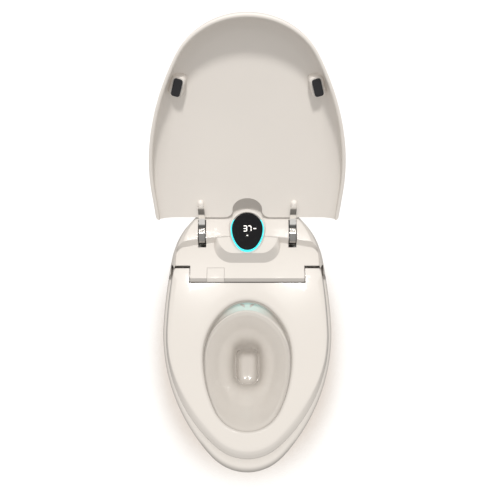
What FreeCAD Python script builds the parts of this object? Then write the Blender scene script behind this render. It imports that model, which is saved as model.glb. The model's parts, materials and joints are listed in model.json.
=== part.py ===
import FreeCAD, Part
import math
import os

Vector = FreeCAD.Vector

# A floor-standing smart toilet with a heated seat. Millimetres, +Z up, front towards -Y.
# The origin is the centre of the waste outlet, on the floor.
# At rest the lid is open and leans back on its stop, and the seat is down.

# ---- body ----
body_width = 395.0
front_reach = 404.0          # outlet centre to the front of the rim
rear_reach = 212.0           # outlet centre to the flat back
waist_y = -82.0              # where the body is widest
nose_share = 0.56            # nose radius, as a share of the half width
corner_share = 0.82          # radius of the rear corners, as a share of the half width
flat_share = 0.13            # half of the flat back, as a share of the half width
rim_height = 392.0
deck_height = 436.0          # flat top of the seat block
band_height = 456.0          # raised band behind the deck
band_tilt = 5.0              # degrees, rising to the rear
band_rounding = 0.08         # how much rounder its rear corners are, as a share
china_wall = 12.0
foot_inset = 62.0
foot_rake = 1.65             # how much more the nose draws in than the sides
rim_round = 13.0

# ---- bowl ----
bowl_half = 104.0
bowl_rear = -33.0
bowl_front = -331.0
bowl_waist = -160.0
bowl_rear_share = 0.78       # end radii as shares of the half width
bowl_front_share = 0.80
ledge_drop = 22.0            # rim wall, from the rim down to the basin's edge
ledge_step = 5.0
wall_slant = 12.5            # how far the rim wall leans forward at the rear
basin_shift = -3.0           # the basin's mouth sits a little to the left
sump_width = 54.0
sump_length = 86.0
sump_y = -158.0
sump_top = 236.0
sump_depth = 46.0
sump_share = 0.62
trap_radius = 25.0
trap_bend = 33.0             # centre-line radius of its turns
trap_run = 70.0
trap_dip = 12.0
weir_y = -36.0
weir_z = 262.0

# ---- rear well for the water works, and nozzle bay ----
well_half = 92.0
well_front = 58.0
well_floor = 215.0
bay_half = 32.0
bay_floor = 372.0
bay_lead = 20.0

# ---- waste outlet, fixings and inlets ----
outlet_bore = 45.0           # radius
outlet_wall = 5.0
outlet_depth = 34.0
flange_radius = 72.0
flange_thickness = 6.0
fixing_spacing = 212.0
fixing_y = 34.0
fixing_hole = 6.0            # radius
fixing_boss = 17.0           # radius
fixing_boss_height = 30.0
inlet_radius = 10.48         # half-inch pipe thread
inlet_length = 22.0
inlet_relief = 2.0           # plain neck behind the thread
inlet_x = 62.0
inlet_z = 300.0
inlet_flange = 17.0          # radius
gland_radius = 8.0

# ---- seat ----
seat_width = 372.0
seat_nose = 377.0            # outlet centre to the seat's front
seat_waist_y = -100.0
seat_tail_y = 118.0          # where the seat's tail curve would close
seat_underside = 402.0
seat_front_height = 424.0
seat_rise = 6.5              # from the front of the top to its rear
seat_slope_width = 18.0      # plan width of the sloping outer edge
seat_rear_y = 4.5
ear_inner = 135.5
ear_rear_y = 40.0
hole_half = 99.0
hole_rear = -36.0
hole_front = -322.0
hole_flare = 7.0
seat_wall = 3.0
seat_base_thickness = 2.5
foil_thickness = 1.0
seat_pivot_y = 28.0
seat_pivot_z = 420.0
seat_pin_radius = 5.0
seat_swing = 23.0            # radius kept free behind the ears
foot_length = 32.0
foot_width = 14.0

# ---- housing ----
housing_skin = 3.0
block_half = 133.5
block_front_y = 7.0
block_chamfer = 7.0
skirt_front_y = 26.0
bay_outer = 179.0
ridge_y = 116.0
ridge_side_y = 101.5
ridge_half = 168.0
ridge_corner = 24.0
ridge_slope = 9.0
plateau_half = 78.0
plateau_front_y = 52.0
plateau_corner = 42.0
plateau_rake = 20.0          # plan width of its front wall
plateau_side_rake = 3.0
plateau_height = 448.0
plateau_rise = 0.14
chassis_inset = 9.0
chassis_thickness = 3.0
cover_inner = 54.0           # the service cover's sides, left of the middle
cover_outer = 93.5
cover_rear_y = 39.0
cover_lip = 6.0
spout_height = 412.0         # top of the gap in the block's front for the wands

# ---- display ----
display_half = 36.2
display_length = 88.5
display_waist = 50.7         # from the front to where it is widest
display_front_y = 78.0
display_front_z = 453.0
display_tilt = 12.0          # degrees
display_thickness = 3.0
display_rim = 6.0            # overlap on the ledge below
display_rear_share = 0.96
display_front_share = 0.77
hump_margin = 9.0
hump_slope = 4.0
hump_shift = 4.0             # it reaches further behind the glass than ahead of it
light_ring_width = 2.8
light_ring_lead = 1.6        # the ring is wider ahead of the glass by this

# ---- lid ----
lid_width = 425.0
lid_front_y = -406.0
lid_rim_front_z = 402.0
lid_rim_rear_z = 440.0
lid_rear_y = 78.0
lid_side_y = -8.0            # ahead of this the sides curve in
lid_nose_share = 0.69
lid_depth_front = 45.0
lid_depth_rear = 16.0
lid_roll = 42.0              # plan width of the rounded side wall
lid_wall = 3.0
lid_corner = 13.0
notch_half = 34.5
notch_depth = 58.0
notch_flare = 20.0
lid_pivot_y = 121.0
lid_pivot_z = 437.0
lid_open_angle = 115.5       # closed to fully open
arm_x = 107.0
arm_width = 14.5
arm_thickness = 5.0
arm_drum = 22.0              # radius
arm_reach = 80.0
lid_pin_radius = 5.0
slot_clearance = 2.0
slot_front_y = 91.0
slot_rear_y = 152.0
bumper_x = 133.0
bumper_y = -261.0
bumper_length = 35.0
bumper_width = 17.0
bumper_turn = 17.0           # degrees, follows the outline
bumper_thickness = 4.0
bumper_margin = 4.0

# ---- wash wands ----
wand_x = 13.0
wand_radius = 7.0
wand_length = 152.0
wand_travel = 52.0
wand_tilt = 14.0             # degrees
wand_tip_y = -42.0           # where the wand's axis meets the rim wall
wand_tip_z = 380.5
wand_running = 0.10          # radial
nozzle_radius = 1.6
gear_module = 1.0
gear_teeth = 12
gear_backlash = 0.5
addendum = 0.75              # in modules
dedendum = 1.10
rack_pitch_line = 8.3        # above the wand's axis
rack_width = 5.0
pinion_at = 80.0             # along the wand from its tip
pinion_width = 6.0
shaft_radius = 1.5
motor_radius = 8.0
motor_length = 18.0
guide_at = 122.0
guide_length = 12.0
spout_length = 19.0          # how far the nozzle housing reaches along the wand
carrier_half = 31.0
carrier_low = 10.0           # below the wand's axis
carrier_high = 12.0          # above it

# ---- fans ----
fan_x = 110.0
fan_y = 68.0
fan_radius = 23.0
fan_height = 28.0
fan_wall = 2.0
fan_eye = 10.0               # radius of the inlet
fan_gap = 1.5
fan_post = 2.0               # radius
fan_hub = 5.0
fan_blades = 9
duct_inner = 44.0            # the warm-air duct's sides, right of the middle
duct_outer = 62.0
duct_height = 7.6
duct_wall = 1.4
duct_front_y = -30.0
duct_rear_y = 50.0

# ---- other works ----
heater_width = 60.0
heater_depth = 42.0
heater_height = 96.0
pump_radius = 22.0
pump_height = 58.0
valve_radius = 14.0
valve_length = 44.0
supply_width = 46.0
supply_depth = 34.0
supply_height = 26.0
board_width = 104.0
board_depth = 34.0
board_y = 160.0
board_thickness = 1.6
standoff_height = 8.0
standoff_radius = 3.0
damper_radius = 12.0
damper_length = 15.0
damper_foot = 16.0
seat_damper_radius = 9.0
screw_radius = 3.0
screw_height = 2.4

# ---- clearances ----
running = 0.05               # radial, pin in hole
fit = 0.3                    # between housed pieces
past = 1.0                   # how far a cut runs past a face
bluntest = 1.02              # least length of a rounded end, in half widths


# ------------------------------------------------------------------ helpers

def loft(wires):
    return Part.makeLoft(wires, True, True)


def block(x0, x1, y0, y1, z0, z1):
    return Part.makeBox(x1 - x0, y1 - y0, z1 - z0, Vector(x0, y0, z0))


def rod_x(x0, x1, y, z, radius):
    return Part.makeCylinder(radius, x1 - x0, Vector(x0, y, z), Vector(1, 0, 0))


def rod_y(x, y0, y1, z, radius):
    return Part.makeCylinder(radius, y1 - y0, Vector(x, y0, z), Vector(0, 1, 0))


def rod_z(x, y, z0, z1, radius):
    return Part.makeCylinder(radius, z1 - z0, Vector(x, y, z0), Vector(0, 0, 1))


def turned_x(shape, y, z, degrees):
    """A copy turned about the X-parallel axis through (y, z); positive lifts the rear."""
    copy = shape.copy()
    copy.rotate(Vector(0, y, z), Vector(1, 0, 0), degrees)
    return copy


def mirrored(shape):
    return shape.mirror(Vector(0, 0, 0), Vector(1, 0, 0))


def both_sides(shape):
    return Part.makeCompound([shape, mirrored(shape)])


def filled(points):
    return Part.Face(Part.makePolygon([*points, points[0]]))


def prism(points, z0, z1):
    """An (x, y) outline raised from z0 to z1."""
    return filled([Vector(x, y, z0) for x, y in points]).extrude(Vector(0, 0, z1 - z0))


def profile_x(points, x0, x1):
    """A (y, z) outline drawn at x0 and extruded to x1."""
    return filled([Vector(x0, y, z) for y, z in points]).extrude(Vector(x1 - x0, 0, 0))


def united(shapes):
    first = shapes[0]
    for shape in shapes[1:]:
        first = first.fuse(shape)
    return first.removeSplitter()


def without(shape, cuts):
    for cut in cuts:
        shape = shape.cut(cut)
    return shape


def round_upright(form, radius):
    """Rounds the edges that stand along Z."""
    upright = [e for e in form.Edges if abs(e.tangentAt(e.FirstParameter).z) > 0.9]
    return form.makeFillet(radius, upright)


def slab(outline, z0, z1):
    """A flat wire lowered or raised to z0 and thickened to z1."""
    face = Part.Face(outline)
    face.translate(Vector(0, 0, z0 - outline.BoundBox.ZMin))
    return face.extrude(Vector(0, 0, z1 - z0))


# ------------------------------------------------------------------ outlines

def arcs(points):
    """Arcs end to end, each through three points and sharing its ends."""
    return [Part.Arc(*points[i:i + 3]).toShape() for i in range(0, len(points) - 2, 2)]


def placed(points, waist, toward, z, shift=0.0):
    return [Vector(x + shift, waist + toward * y, z) for x, y in points]


def nosed(half, reach, nose):
    """A side arc, a nose arc on the centre line and the other side arc, all tangent."""
    reach = max(reach, bluntest * half)
    side = (half ** 2 + reach ** 2 - 2.0 * reach * nose) / (2.0 * (half - nose))
    turn = math.atan2(reach - nose, side - half)
    right = [(half - side + side * math.cos(share * turn), side * math.sin(share * turn)) for share in (0.0, 0.5, 1.0)]
    return right + [(0.0, reach)] + [(-x, y) for x, y in reversed(right)]


def cornered(half, reach, corner, flat):
    """A side arc and a corner arc, tangent to each other and to a flat end."""
    run = half - flat
    side = (run ** 2 + (reach - corner) ** 2 - corner ** 2) / (2.0 * (run - corner))
    turn = math.atan2(reach - corner, side - run)
    right = [(half - side + side * math.cos(share * turn), side * math.sin(share * turn)) for share in (0.0, 0.5, 1.0)]
    half_way = 0.5 * (turn + 0.5 * math.pi)
    right.append((flat + corner * math.cos(half_way), reach - corner + corner * math.sin(half_way)))
    right.append((flat, reach))
    return right


def body_wire(half, front, rear, z, waist=waist_y, rounding=0.0):
    """Body outline: nose, sides and rear corners of arcs, with a straight back."""
    ahead = placed(nosed(half, waist - front, nose_share * half), waist, -1.0, z)
    tail = cornered(half, rear - waist, (corner_share + rounding) * half, (flat_share - rounding) * half)
    right = placed(tail, waist, 1.0, z)
    left = placed([(-x, y) for x, y in tail], waist, 1.0, z)
    back = Part.LineSegment(left[-1], right[-1]).toShape()
    return Part.Wire([*arcs(ahead), *arcs(left), back, *arcs(right[::-1])])


def egg_wire(half, rear, front, waist, shares, z, shift=0.0):
    """Egg outline of six arcs; shares gives the rear and front end radii in half widths."""
    ahead = placed(nosed(half, waist - front, shares[1] * half), waist, -1.0, z, shift)
    behind = placed(nosed(half, rear - waist, shares[0] * half), waist, 1.0, z, shift)
    return Part.Wire([*arcs(ahead), *arcs(behind[::-1])])


# ------------------------------------------------------------------ ceramic

def body_form():
    """The china's outside: an inset foot that swells to the rim and rounds over."""
    shoulder = rim_height - 2.0 * rim_round
    shape = [
        (0.0, foot_inset),
        (0.45 * shoulder, 0.62 * foot_inset),
        (0.80 * shoulder, 0.17 * foot_inset),
        (shoulder, 0.0),
        (rim_height - 0.5 * rim_round, 0.2 * rim_round),
        (rim_height, rim_round),
    ]
    wires = []
    for z, drawn in shape:
        wires.append(body_wire(0.5 * body_width - drawn, -front_reach + drawn * foot_rake, rear_reach, z))
    return loft(wires)


def bowl_wire(share, z, inset=0.0, lean=0.0):
    """Outline of the bowl at a share of the way from its rim to the sump."""
    half = bowl_half + (0.5 * sump_width - bowl_half) * share - inset
    rear = bowl_rear + (sump_y + 0.5 * sump_length - bowl_rear) * share - lean
    front = bowl_front + (sump_y - 0.5 * sump_length - bowl_front) * share + 1.6 * inset
    waist = bowl_waist + (sump_y - bowl_waist) * share
    shares = (bowl_rear_share + (sump_share - bowl_rear_share) * share,
              bowl_front_share + (sump_share - bowl_front_share) * share)
    return egg_wire(half, rear, front, waist, shares, z, basin_shift * inset / ledge_step)


def rim_well():
    """The leaning wall from the rim down to the ledge."""
    low = egg_wire(bowl_half - 0.5 * ledge_step, bowl_rear - wall_slant, bowl_front + ledge_step, bowl_waist,
                   (bowl_rear_share, bowl_front_share), rim_height - ledge_drop)
    top = egg_wire(bowl_half, bowl_rear, bowl_front, bowl_waist, (bowl_rear_share, bowl_front_share), rim_height + past)
    return loft([low, top])


def basin():
    """The bowl below its ledge: steep sides that flatten towards the sump."""
    top = rim_height - ledge_drop
    wires = []
    for depth, share in [(1.0, 0.96), (0.72, 0.52), (0.36, 0.18), (0.0, 0.0)]:
        inset = ledge_step * (1.0 - share)
        wires.append(bowl_wire(share, top + (sump_top - top) * depth, inset, (wall_slant + ledge_step) * (1.0 - share)))
    return loft(wires)


def sump():
    half = 0.5 * sump_width
    length = 0.5 * sump_length
    form = block(-half, half, sump_y - length, sump_y + length, sump_top - sump_depth, sump_top + sump_depth)
    return round_upright(form, sump_share * half)


def straight_tube(start, end, radius):
    return Part.makeCylinder(radius, (end - start).Length, start, end - start)


def tube_bend(enter, centre, back, turn, radius):
    """A stretch of a ring round centre, starting at enter and leading away from back."""
    axis = (enter - centre).cross(back * -1.0).normalize()
    disc = Part.Face(Part.Wire([Part.Circle(enter, back * -1.0, radius).toShape()]))
    return disc.revolve(centre, axis, math.degrees(turn))


def bent_tube(points, bend, radius):
    """A round tube through (y, z) points: straight runs joined by bends of one radius."""
    corners = [Vector(0, y, z) for y, z in points]
    pieces = []
    start = corners[0]
    for before, corner, after in zip(corners, corners[1:], corners[2:]):
        back = (before - corner).normalize()
        ahead = (after - corner).normalize()
        half_turn = 0.5 * (math.pi - back.getAngle(ahead))
        enter = corner + back * (bend * math.tan(half_turn))
        centre = corner + (back + ahead).normalize() * (bend / math.cos(half_turn))
        pieces.append(straight_tube(start, enter, radius))
        pieces.append(tube_bend(enter, centre, back, 2.0 * half_turn, radius))
        start = corner + ahead * (bend * math.tan(half_turn))
    pieces.append(straight_tube(start, corners[-1], radius))
    return united(pieces)


def trapway():
    """The waste passage: out of the sump, up over the weir and down to the floor."""
    sump_floor = sump_top - sump_depth
    return bent_tube([
        (sump_y, sump_floor + trap_radius),
        (sump_y + trap_run, sump_floor + trap_radius - trap_dip),
        (weir_y, weir_z),
        (0.0, weir_z - trap_dip),
        (0.0, outlet_depth - past),
    ], trap_bend, trap_radius)


def well_form():
    """Rear bay for the water works, inside the body's tail."""
    inset = 0.5 * foot_inset + china_wall
    outline = body_wire(0.5 * body_width - inset, -front_reach + inset, rear_reach - china_wall, well_floor)
    box = block(-well_half, well_half, well_front, rear_reach, well_floor, rim_height + past)
    return box.common(slab(outline, well_floor, rim_height + past))


def fixing_places():
    return [(-0.5 * fixing_spacing, fixing_y), (0.5 * fixing_spacing, fixing_y)]


def under_hollow():
    """The open underside, which leaves bosses for the fixings and the outlet."""
    high = sump_top - sump_depth - china_wall
    inset = foot_inset + china_wall
    mouth = body_wire(0.5 * body_width - inset, -front_reach + inset * foot_rake, rear_reach - china_wall, 0.0)
    kept = [rod_z(x, y, -past, fixing_boss_height, fixing_boss) for x, y in fixing_places()]
    kept.append(rod_z(0, 0, -past, high, outlet_bore + outlet_wall + china_wall))
    kept.append(rod_z(0, 0, -past, outlet_depth, flange_radius + china_wall))
    return without(slab(mouth, -past, high), kept)


def ceramic_bowl():
    cuts = [under_hollow(), rim_well(), basin(), sump(), trapway(), well_form()]
    cuts.append(block(-bay_half, bay_half, bowl_rear - bay_lead, well_front + past, bay_floor, rim_height + past))
    cuts.append(rod_z(0, 0, -past, outlet_depth, outlet_bore + outlet_wall + fit))
    cuts.append(rod_z(0, 0, -past, flange_thickness, flange_radius + fit))
    cuts += [rod_z(x, y, -past, fixing_boss_height + past, fixing_hole) for x, y in fixing_places()]
    rear = rear_reach - 2.0 * china_wall
    wall_y = rear_reach - china_wall
    form = body_form()
    for x, hole, seat in ((-inlet_x, inlet_radius, inlet_flange), (inlet_x, gland_radius, 1.5 * gland_radius)):
        cuts.append(rod_y(x, rear, rear_reach + past, inlet_z, hole))
        cuts.append(rod_y(x, rear - china_wall, wall_y, inlet_z, seat))
        form = form.fuse(rod_y(x, wall_y, rear_reach, inlet_z, seat))
    return without(form, cuts)


def outlet_socket():
    """Floor connector: a tube with a flange, let into the china's foot."""
    tube = rod_z(0, 0, 0.0, outlet_depth, outlet_bore + outlet_wall)
    flange = rod_z(0, 0, 0.0, flange_thickness, flange_radius)
    return united([tube, flange]).cut(rod_z(0, 0, -past, outlet_depth + past, outlet_bore))


def fixing_nuts():
    """Washers and hexagon nuts on the fixing bosses, open for the floor's studs."""
    nuts = []
    top = fixing_boss_height + screw_height
    for x, y in fixing_places():
        washer = rod_z(x, y, fixing_boss_height, top, 2.0 * fixing_hole)
        corners = [math.radians(60.0 * i) for i in range(6)]
        reach = 1.7 * fixing_hole
        points = [(x + reach * math.cos(a), y + reach * math.sin(a)) for a in corners]
        nut = prism(points, top, top + 1.6 * fixing_hole)
        hole = rod_z(x, y, 0.0, top + 2.0 * fixing_hole, fixing_hole)
        nuts.append(united([washer, nut]).cut(hole))
    return Part.makeCompound(nuts)


def water_inlet():
    """Threaded spigot through the back, with a flange against the china inside."""
    wall_y = rear_reach - china_wall
    spigot = rod_y(-inlet_x, rear_reach + inlet_relief, rear_reach + inlet_length, inlet_z, inlet_radius)
    neck = rod_y(-inlet_x, wall_y, rear_reach + inlet_length, inlet_z, inlet_radius - 0.5 * inlet_relief)
    flange = rod_y(-inlet_x, wall_y - china_wall, wall_y, inlet_z, inlet_flange)
    bore = rod_y(-inlet_x, rear_reach, rear_reach + inlet_length + past, inlet_z, 0.7 * inlet_radius)
    return united([spigot, neck, flange]).cut(bore)


def power_gland():
    """Round gland in the back for the supply."""
    wall_y = rear_reach - china_wall
    body = rod_y(inlet_x, wall_y, rear_reach + china_wall, inlet_z, gland_radius)
    collar = rod_y(inlet_x, rear_reach, rear_reach + 0.5 * china_wall, inlet_z, 1.5 * gland_radius)
    nut = rod_y(inlet_x, wall_y - 0.5 * china_wall, wall_y, inlet_z, 1.5 * gland_radius)
    bore = rod_y(inlet_x, rear_reach, rear_reach + china_wall + past, inlet_z, 0.5 * gland_radius)
    return united([body, collar, nut]).cut(bore)


# ------------------------------------------------------------------ housing

def housing_shoulders(skin):
    """The domed rear form, up to the raised band."""
    rise = band_height - rim_height
    shape = [(0.0, 3.0, 0.0), (0.30, 6.0, 0.5), (0.62, 11.0, 1.0), (0.86, 20.0, 2.5), (1.0, 34.0, 5.0)]
    wires = []
    for share, sides, rear in shape:
        z = rim_height + share * (rise - skin) - (past if skin > 0.0 and share == 0.0 else 0.0)
        flat = body_wire(0.5 * body_width - sides - skin, -front_reach + sides + skin, rear_reach - rear - skin, z,
                         waist_y, share * band_rounding)
        wires.append(turned_x(flat, ridge_y, z, share * band_tilt))
    return loft(wires).cut(block(-body_width, body_width, -2.0 * front_reach, block_front_y + skin, 0.0, 2.0 * band_height))


def ridge_wire(half, spread, z):
    """Front edge of the raised band: a shallow arc between two rounded corners."""
    near = -front_reach
    side_y = ridge_side_y + spread
    inner = half - ridge_corner
    nook = ridge_corner * (1.0 - math.sqrt(0.5))
    right = [Vector(half, side_y - ridge_corner, z), Vector(half - nook, side_y - nook, z), Vector(inner, side_y, z)]
    left = [Vector(-p.x, p.y, z) for p in reversed(right)]
    start = Vector(half, near, z)
    end = Vector(-half, near, z)
    return Part.Wire([
        Part.LineSegment(start, right[0]).toShape(),
        *arcs([*right, Vector(0, ridge_y + spread, z), *left]),
        Part.LineSegment(left[-1], end).toShape(),
        Part.LineSegment(end, start).toShape(),
    ])


def deck_cut(skin):
    """What is cleared above the deck, back to the ridge."""
    low = ridge_wire(ridge_half + skin, -ridge_slope + skin, deck_height - skin)
    high = ridge_wire(ridge_half + ridge_slope + skin, skin, band_height + ridge_slope)
    return loft([low, high])


def plateau_wire(half, front, corner, z):
    rear = ridge_y + 2.0 * ridge_slope
    nook = corner * (1.0 - math.sqrt(0.5))
    right = [Vector(half, front + corner, z), Vector(half - nook, front + nook, z), Vector(half - corner, front, z)]
    left = [Vector(-p.x, p.y, z) for p in reversed(right)]
    start = Vector(half, rear, z)
    end = Vector(-half, rear, z)
    return Part.Wire([
        Part.LineSegment(start, right[0]).toShape(),
        *arcs(right),
        Part.LineSegment(right[-1], left[0]).toShape(),
        *arcs(left),
        Part.LineSegment(left[-1], end).toShape(),
        Part.LineSegment(end, start).toShape(),
    ])


def plateau(skin):
    """The U-shaped step that carries the display, with a top that rises to the rear."""
    depth = 2.0 * housing_skin
    wires = []
    for z in (deck_height - depth, band_height + depth):
        share = (z - deck_height) / (plateau_height - deck_height)
        wires.append(plateau_wire(plateau_half - share * plateau_side_rake - skin,
                                  plateau_front_y + share * plateau_rake + skin, plateau_corner, z))
    front_y = plateau_front_y + plateau_rake
    rear_y = ridge_y + 3.0 * ridge_slope
    near_y = front_y - plateau_half
    low_z = plateau_height - skin - plateau_half * plateau_rise
    high_z = plateau_height - skin + (rear_y - front_y) * plateau_rise
    over = [(near_y, low_z), (rear_y, high_z), (rear_y, 2.0 * band_height), (near_y, 2.0 * band_height)]
    return loft(wires).cut(profile_x(over, -body_width, body_width))


def display_wire(grow, depth, lead=0.0):
    """The display's egg at a depth from its face, in its tilted plane, moved ahead by lead."""
    front = display_front_y - lead
    flat = egg_wire(display_half + grow, front + display_length + grow, front - grow, front + display_waist,
                    (display_rear_share, display_front_share), display_front_z + depth)
    return turned_x(flat, display_front_y, display_front_z, display_tilt)


def display_slab(grow, low, high, lead=0.0):
    return loft([display_wire(grow, low, lead), display_wire(grow, high, lead)])


def hump(skin):
    """The swelling round the display."""
    margin = hump_margin - skin
    front = display_front_y + hump_shift
    foot = egg_wire(display_half + margin + hump_slope, front + display_length + margin + hump_slope,
                    front - margin - hump_slope, front + display_waist, (display_rear_share, display_front_share),
                    deck_height - 2.0 * housing_skin)
    return loft([foot, display_wire(margin - hump_slope, -skin, -hump_shift)])


def ear_bays(gap):
    """Where the seat's ears lie beside the block, with the round wall they swing past."""
    low = rim_height - 2.0 * past
    high = 2.0 * band_height
    near = -front_reach
    x0 = block_half - gap
    x1 = bay_outer + gap
    right = [
        block(x0, x1, near, seat_pivot_y, low, high),
        rod_x(x0, x1, seat_pivot_y, seat_pivot_z, seat_swing + gap),
        block(x0, x1, near, seat_pivot_y + seat_swing + gap, low, seat_pivot_z),
        block(x0, body_width, near, skirt_front_y + gap, low, high),
    ]
    return right + [mirrored(cut) for cut in right]


def block_nose(skin):
    """Chamfer along the front of the block."""
    y = block_front_y + skin
    z = deck_height - skin
    near = -front_reach
    return profile_x([(near, z - block_chamfer), (y, z - block_chamfer), (y + block_chamfer, z),
                      (y + block_chamfer, 2.0 * band_height), (near, 2.0 * band_height)], -block_half - past, block_half + past)


def housing_form(skin):
    form = housing_shoulders(skin).cut(deck_cut(skin))
    form = form.fuse(plateau(skin)).fuse(hump(skin))
    return without(form, ear_bays(skin) + [block_nose(skin)])


def slot_cut():
    half = 0.5 * arm_width + slot_clearance
    return block(arm_x - half, arm_x + half, slot_front_y, slot_rear_y, rim_height + band_height - deck_height,
                 2.0 * band_height)


def cover_form(grow):
    """The service cover on the block: a plate that turns down over the front edge."""
    y = block_front_y
    z = deck_height
    under = housing_skin
    rise = grow + grow * block_chamfer
    outline = [
        (y - rise, z - block_chamfer - cover_lip - grow),
        (y - rise, z - block_chamfer),
        (y + block_chamfer - rise, z + rise),
        (cover_rear_y + grow, z + rise),
        (cover_rear_y + grow, z - under),
        (y + block_chamfer + under * math.tan(math.radians(22.5)), z - under),
        (y + under, z - block_chamfer - under * math.tan(math.radians(22.5))),
        (y + under, z - block_chamfer - cover_lip - grow),
    ]
    return profile_x(outline, -cover_outer - grow, -cover_inner + grow)


def top_housing():
    """The moulded top: one skin, open below, with slots for the arms and a seat for the display."""
    shell = housing_form(0.0).cut(housing_form(housing_skin))
    pin = rod_x(block_half - 2.0 * housing_skin, block_half + past, seat_pivot_y, seat_pivot_z, seat_pin_radius + running)
    slot = slot_cut()
    front = block_front_y - past
    cuts = [slot, mirrored(slot), pin, mirrored(pin), cover_form(fit)]
    cuts.append(block(-carrier_half - fit, carrier_half + fit, front, front + 2.0 * block_chamfer, rim_height - past,
                      spout_height))
    cuts.append(block(duct_inner - fit, duct_outer + fit, front, front + 2.0 * block_chamfer, rim_height - past,
                      rim_height + duct_height + fit))
    seat = display_slab(light_ring_width + fit, -display_thickness, 2.0 * display_thickness, light_ring_lead)
    cuts.append(seat)
    cuts.append(display_slab(-display_rim, -2.0 * display_length, display_length))
    outer = light_ring_width + housing_skin
    ledge = display_slab(outer, -2.0 * display_thickness, -display_thickness, light_ring_lead)
    return without(shell, cuts).fuse(ledge.cut(display_slab(-display_rim, -display_length, display_length)))


def chassis():
    """Base plate on the china that carries the works."""
    outline = body_wire(0.5 * body_width - chassis_inset, -front_reach + chassis_inset, rear_reach - chassis_inset,
                        rim_height)
    plate = slab(outline, rim_height, rim_height + chassis_thickness)
    low = rim_height - past
    high = rim_height + 2.0 * chassis_thickness
    cuts = [block(-body_width, body_width, -2.0 * front_reach, block_front_y + housing_skin + fit, low, high)]
    cuts += ear_bays(housing_skin + fit)
    cuts.append(block(-carrier_half - fit, carrier_half + fit, -front_reach, well_front, low, high))
    cuts.append(block(duct_inner - fit, duct_outer + fit, -front_reach, duct_rear_y + fit, low, high))
    mouth = well_half - 2.0 * china_wall
    cuts.append(block(-mouth, mouth, well_front + 2.0 * china_wall, board_y - 0.5 * board_depth - china_wall, low, high))
    return without(plate, cuts)


# ------------------------------------------------------------------ display

def display_lens():
    return display_slab(0.0, -display_thickness, 0.0)


def light_ring():
    """A crescent light guide round the glass, closing towards the rear."""
    ring = display_slab(light_ring_width, -display_thickness, -0.2, light_ring_lead).cut(
        display_slab(0.5 * fit, -2.0 * display_thickness, display_thickness))
    rear = display_front_y + display_length - 0.5 * display_half
    return ring.cut(block(-body_width, body_width, rear, rear_reach, 0.0, 2.0 * band_height))


def display_board():
    under = -2.0 * display_thickness
    return display_slab(0.0, under - board_thickness, under)


# ------------------------------------------------------------------ seat

def seat_laid(wire, share):
    """Tilts a flat seat outline into the plane at a share of the way from underside to top."""
    front_y = -seat_nose + seat_slope_width
    tilt = math.degrees(math.atan2(share * seat_rise, seat_rear_y - front_y))
    return turned_x(wire, front_y, wire.BoundBox.ZMin, tilt)


def seat_form(inset, low, drop):
    """The seat's outside drawn in by inset, from z low up to the top less drop."""
    height = seat_front_height - drop - low
    wires = []
    for share, drawn in ((0.0, 0.14), (0.18, 0.0), (0.58, 0.33), (0.90, 0.75), (1.0, 1.0)):
        back = drawn * seat_slope_width + inset
        flat = body_wire(0.5 * seat_width - back, -seat_nose + back, seat_tail_y - inset, low + share * height, seat_waist_y)
        wires.append(seat_laid(flat, share))
    return loft(wires)


def hole_wire(grow, z, share=0.0):
    flat = egg_wire(hole_half + grow, hole_rear + grow, hole_front - grow, bowl_waist,
                    (bowl_rear_share, bowl_front_share), z)
    return seat_laid(flat, share)


def hole_cut(grow):
    """The opening through the seat, rounded at its upper edge."""
    top = seat_front_height
    return loft([
        hole_wire(grow, seat_underside - past),
        hole_wire(grow, top - 1.4 * hole_flare, 1.0),
        hole_wire(grow + 0.3 * hole_flare, top - 0.45 * hole_flare, 1.0),
        hole_wire(grow + hole_flare, top + 0.1, 1.0),
    ])


def hole_column(grow):
    return loft([hole_wire(grow, rim_height - past), hole_wire(grow, band_height)])


def behind(y, half=body_width):
    """Everything behind y within a half width."""
    return block(-half, half, y, 3.0 * rear_reach, 0.0, 2.0 * band_height)


def seat_pins():
    return both_sides(rod_x(block_half - 4.0 * housing_skin, bay_outer - 4.0 * housing_skin, seat_pivot_y, seat_pivot_z,
                            seat_pin_radius))


def seat_cover():
    """The seat's moulded top: a shell open below, solid at the ears."""
    outside = without(seat_form(0.0, seat_underside, 0.0), [hole_cut(0.0), behind(seat_rear_y, ear_inner), behind(ear_rear_y)])
    cavity = seat_form(seat_wall, seat_underside - past, seat_wall)
    cavity = without(cavity, [hole_column(seat_wall), behind(seat_rear_y - 4.0 * seat_wall)])
    return outside.cut(cavity).cut(seat_pins())


def seat_plate(grow, low, high):
    """A plate of the seat's inside outline."""
    inset = seat_wall + grow
    outline = body_wire(0.5 * seat_width - inset, -seat_nose + inset, seat_tail_y - inset, low, seat_waist_y)
    return without(slab(outline, low, high), [hole_column(inset), behind(seat_rear_y - 4.0 * seat_wall - grow)])


def seat_base():
    """Bottom plate that closes the seat, with a stiffening rib round it."""
    low = seat_underside + seat_base_thickness
    high = low + 2.0 * seat_wall
    rib = seat_plate(4.0 * seat_wall, low, high).cut(seat_plate(5.0 * seat_wall, low - past, high + past))
    return seat_plate(seat_wall, seat_underside, low).fuse(rib)


def seat_heater():
    """Heating foil under the seat's top."""
    inset = seat_slope_width + 2.0 * seat_wall
    top = seat_front_height - seat_wall
    wires = []
    for z in (top - foil_thickness, top):
        flat = body_wire(0.5 * seat_width - inset, -seat_nose + inset, seat_tail_y - inset, z, seat_waist_y)
        wires.append(seat_laid(flat, 1.0))
    return without(loft(wires), [hole_column(2.0 * seat_wall), behind(seat_rear_y - 5.0 * seat_wall)])


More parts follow.
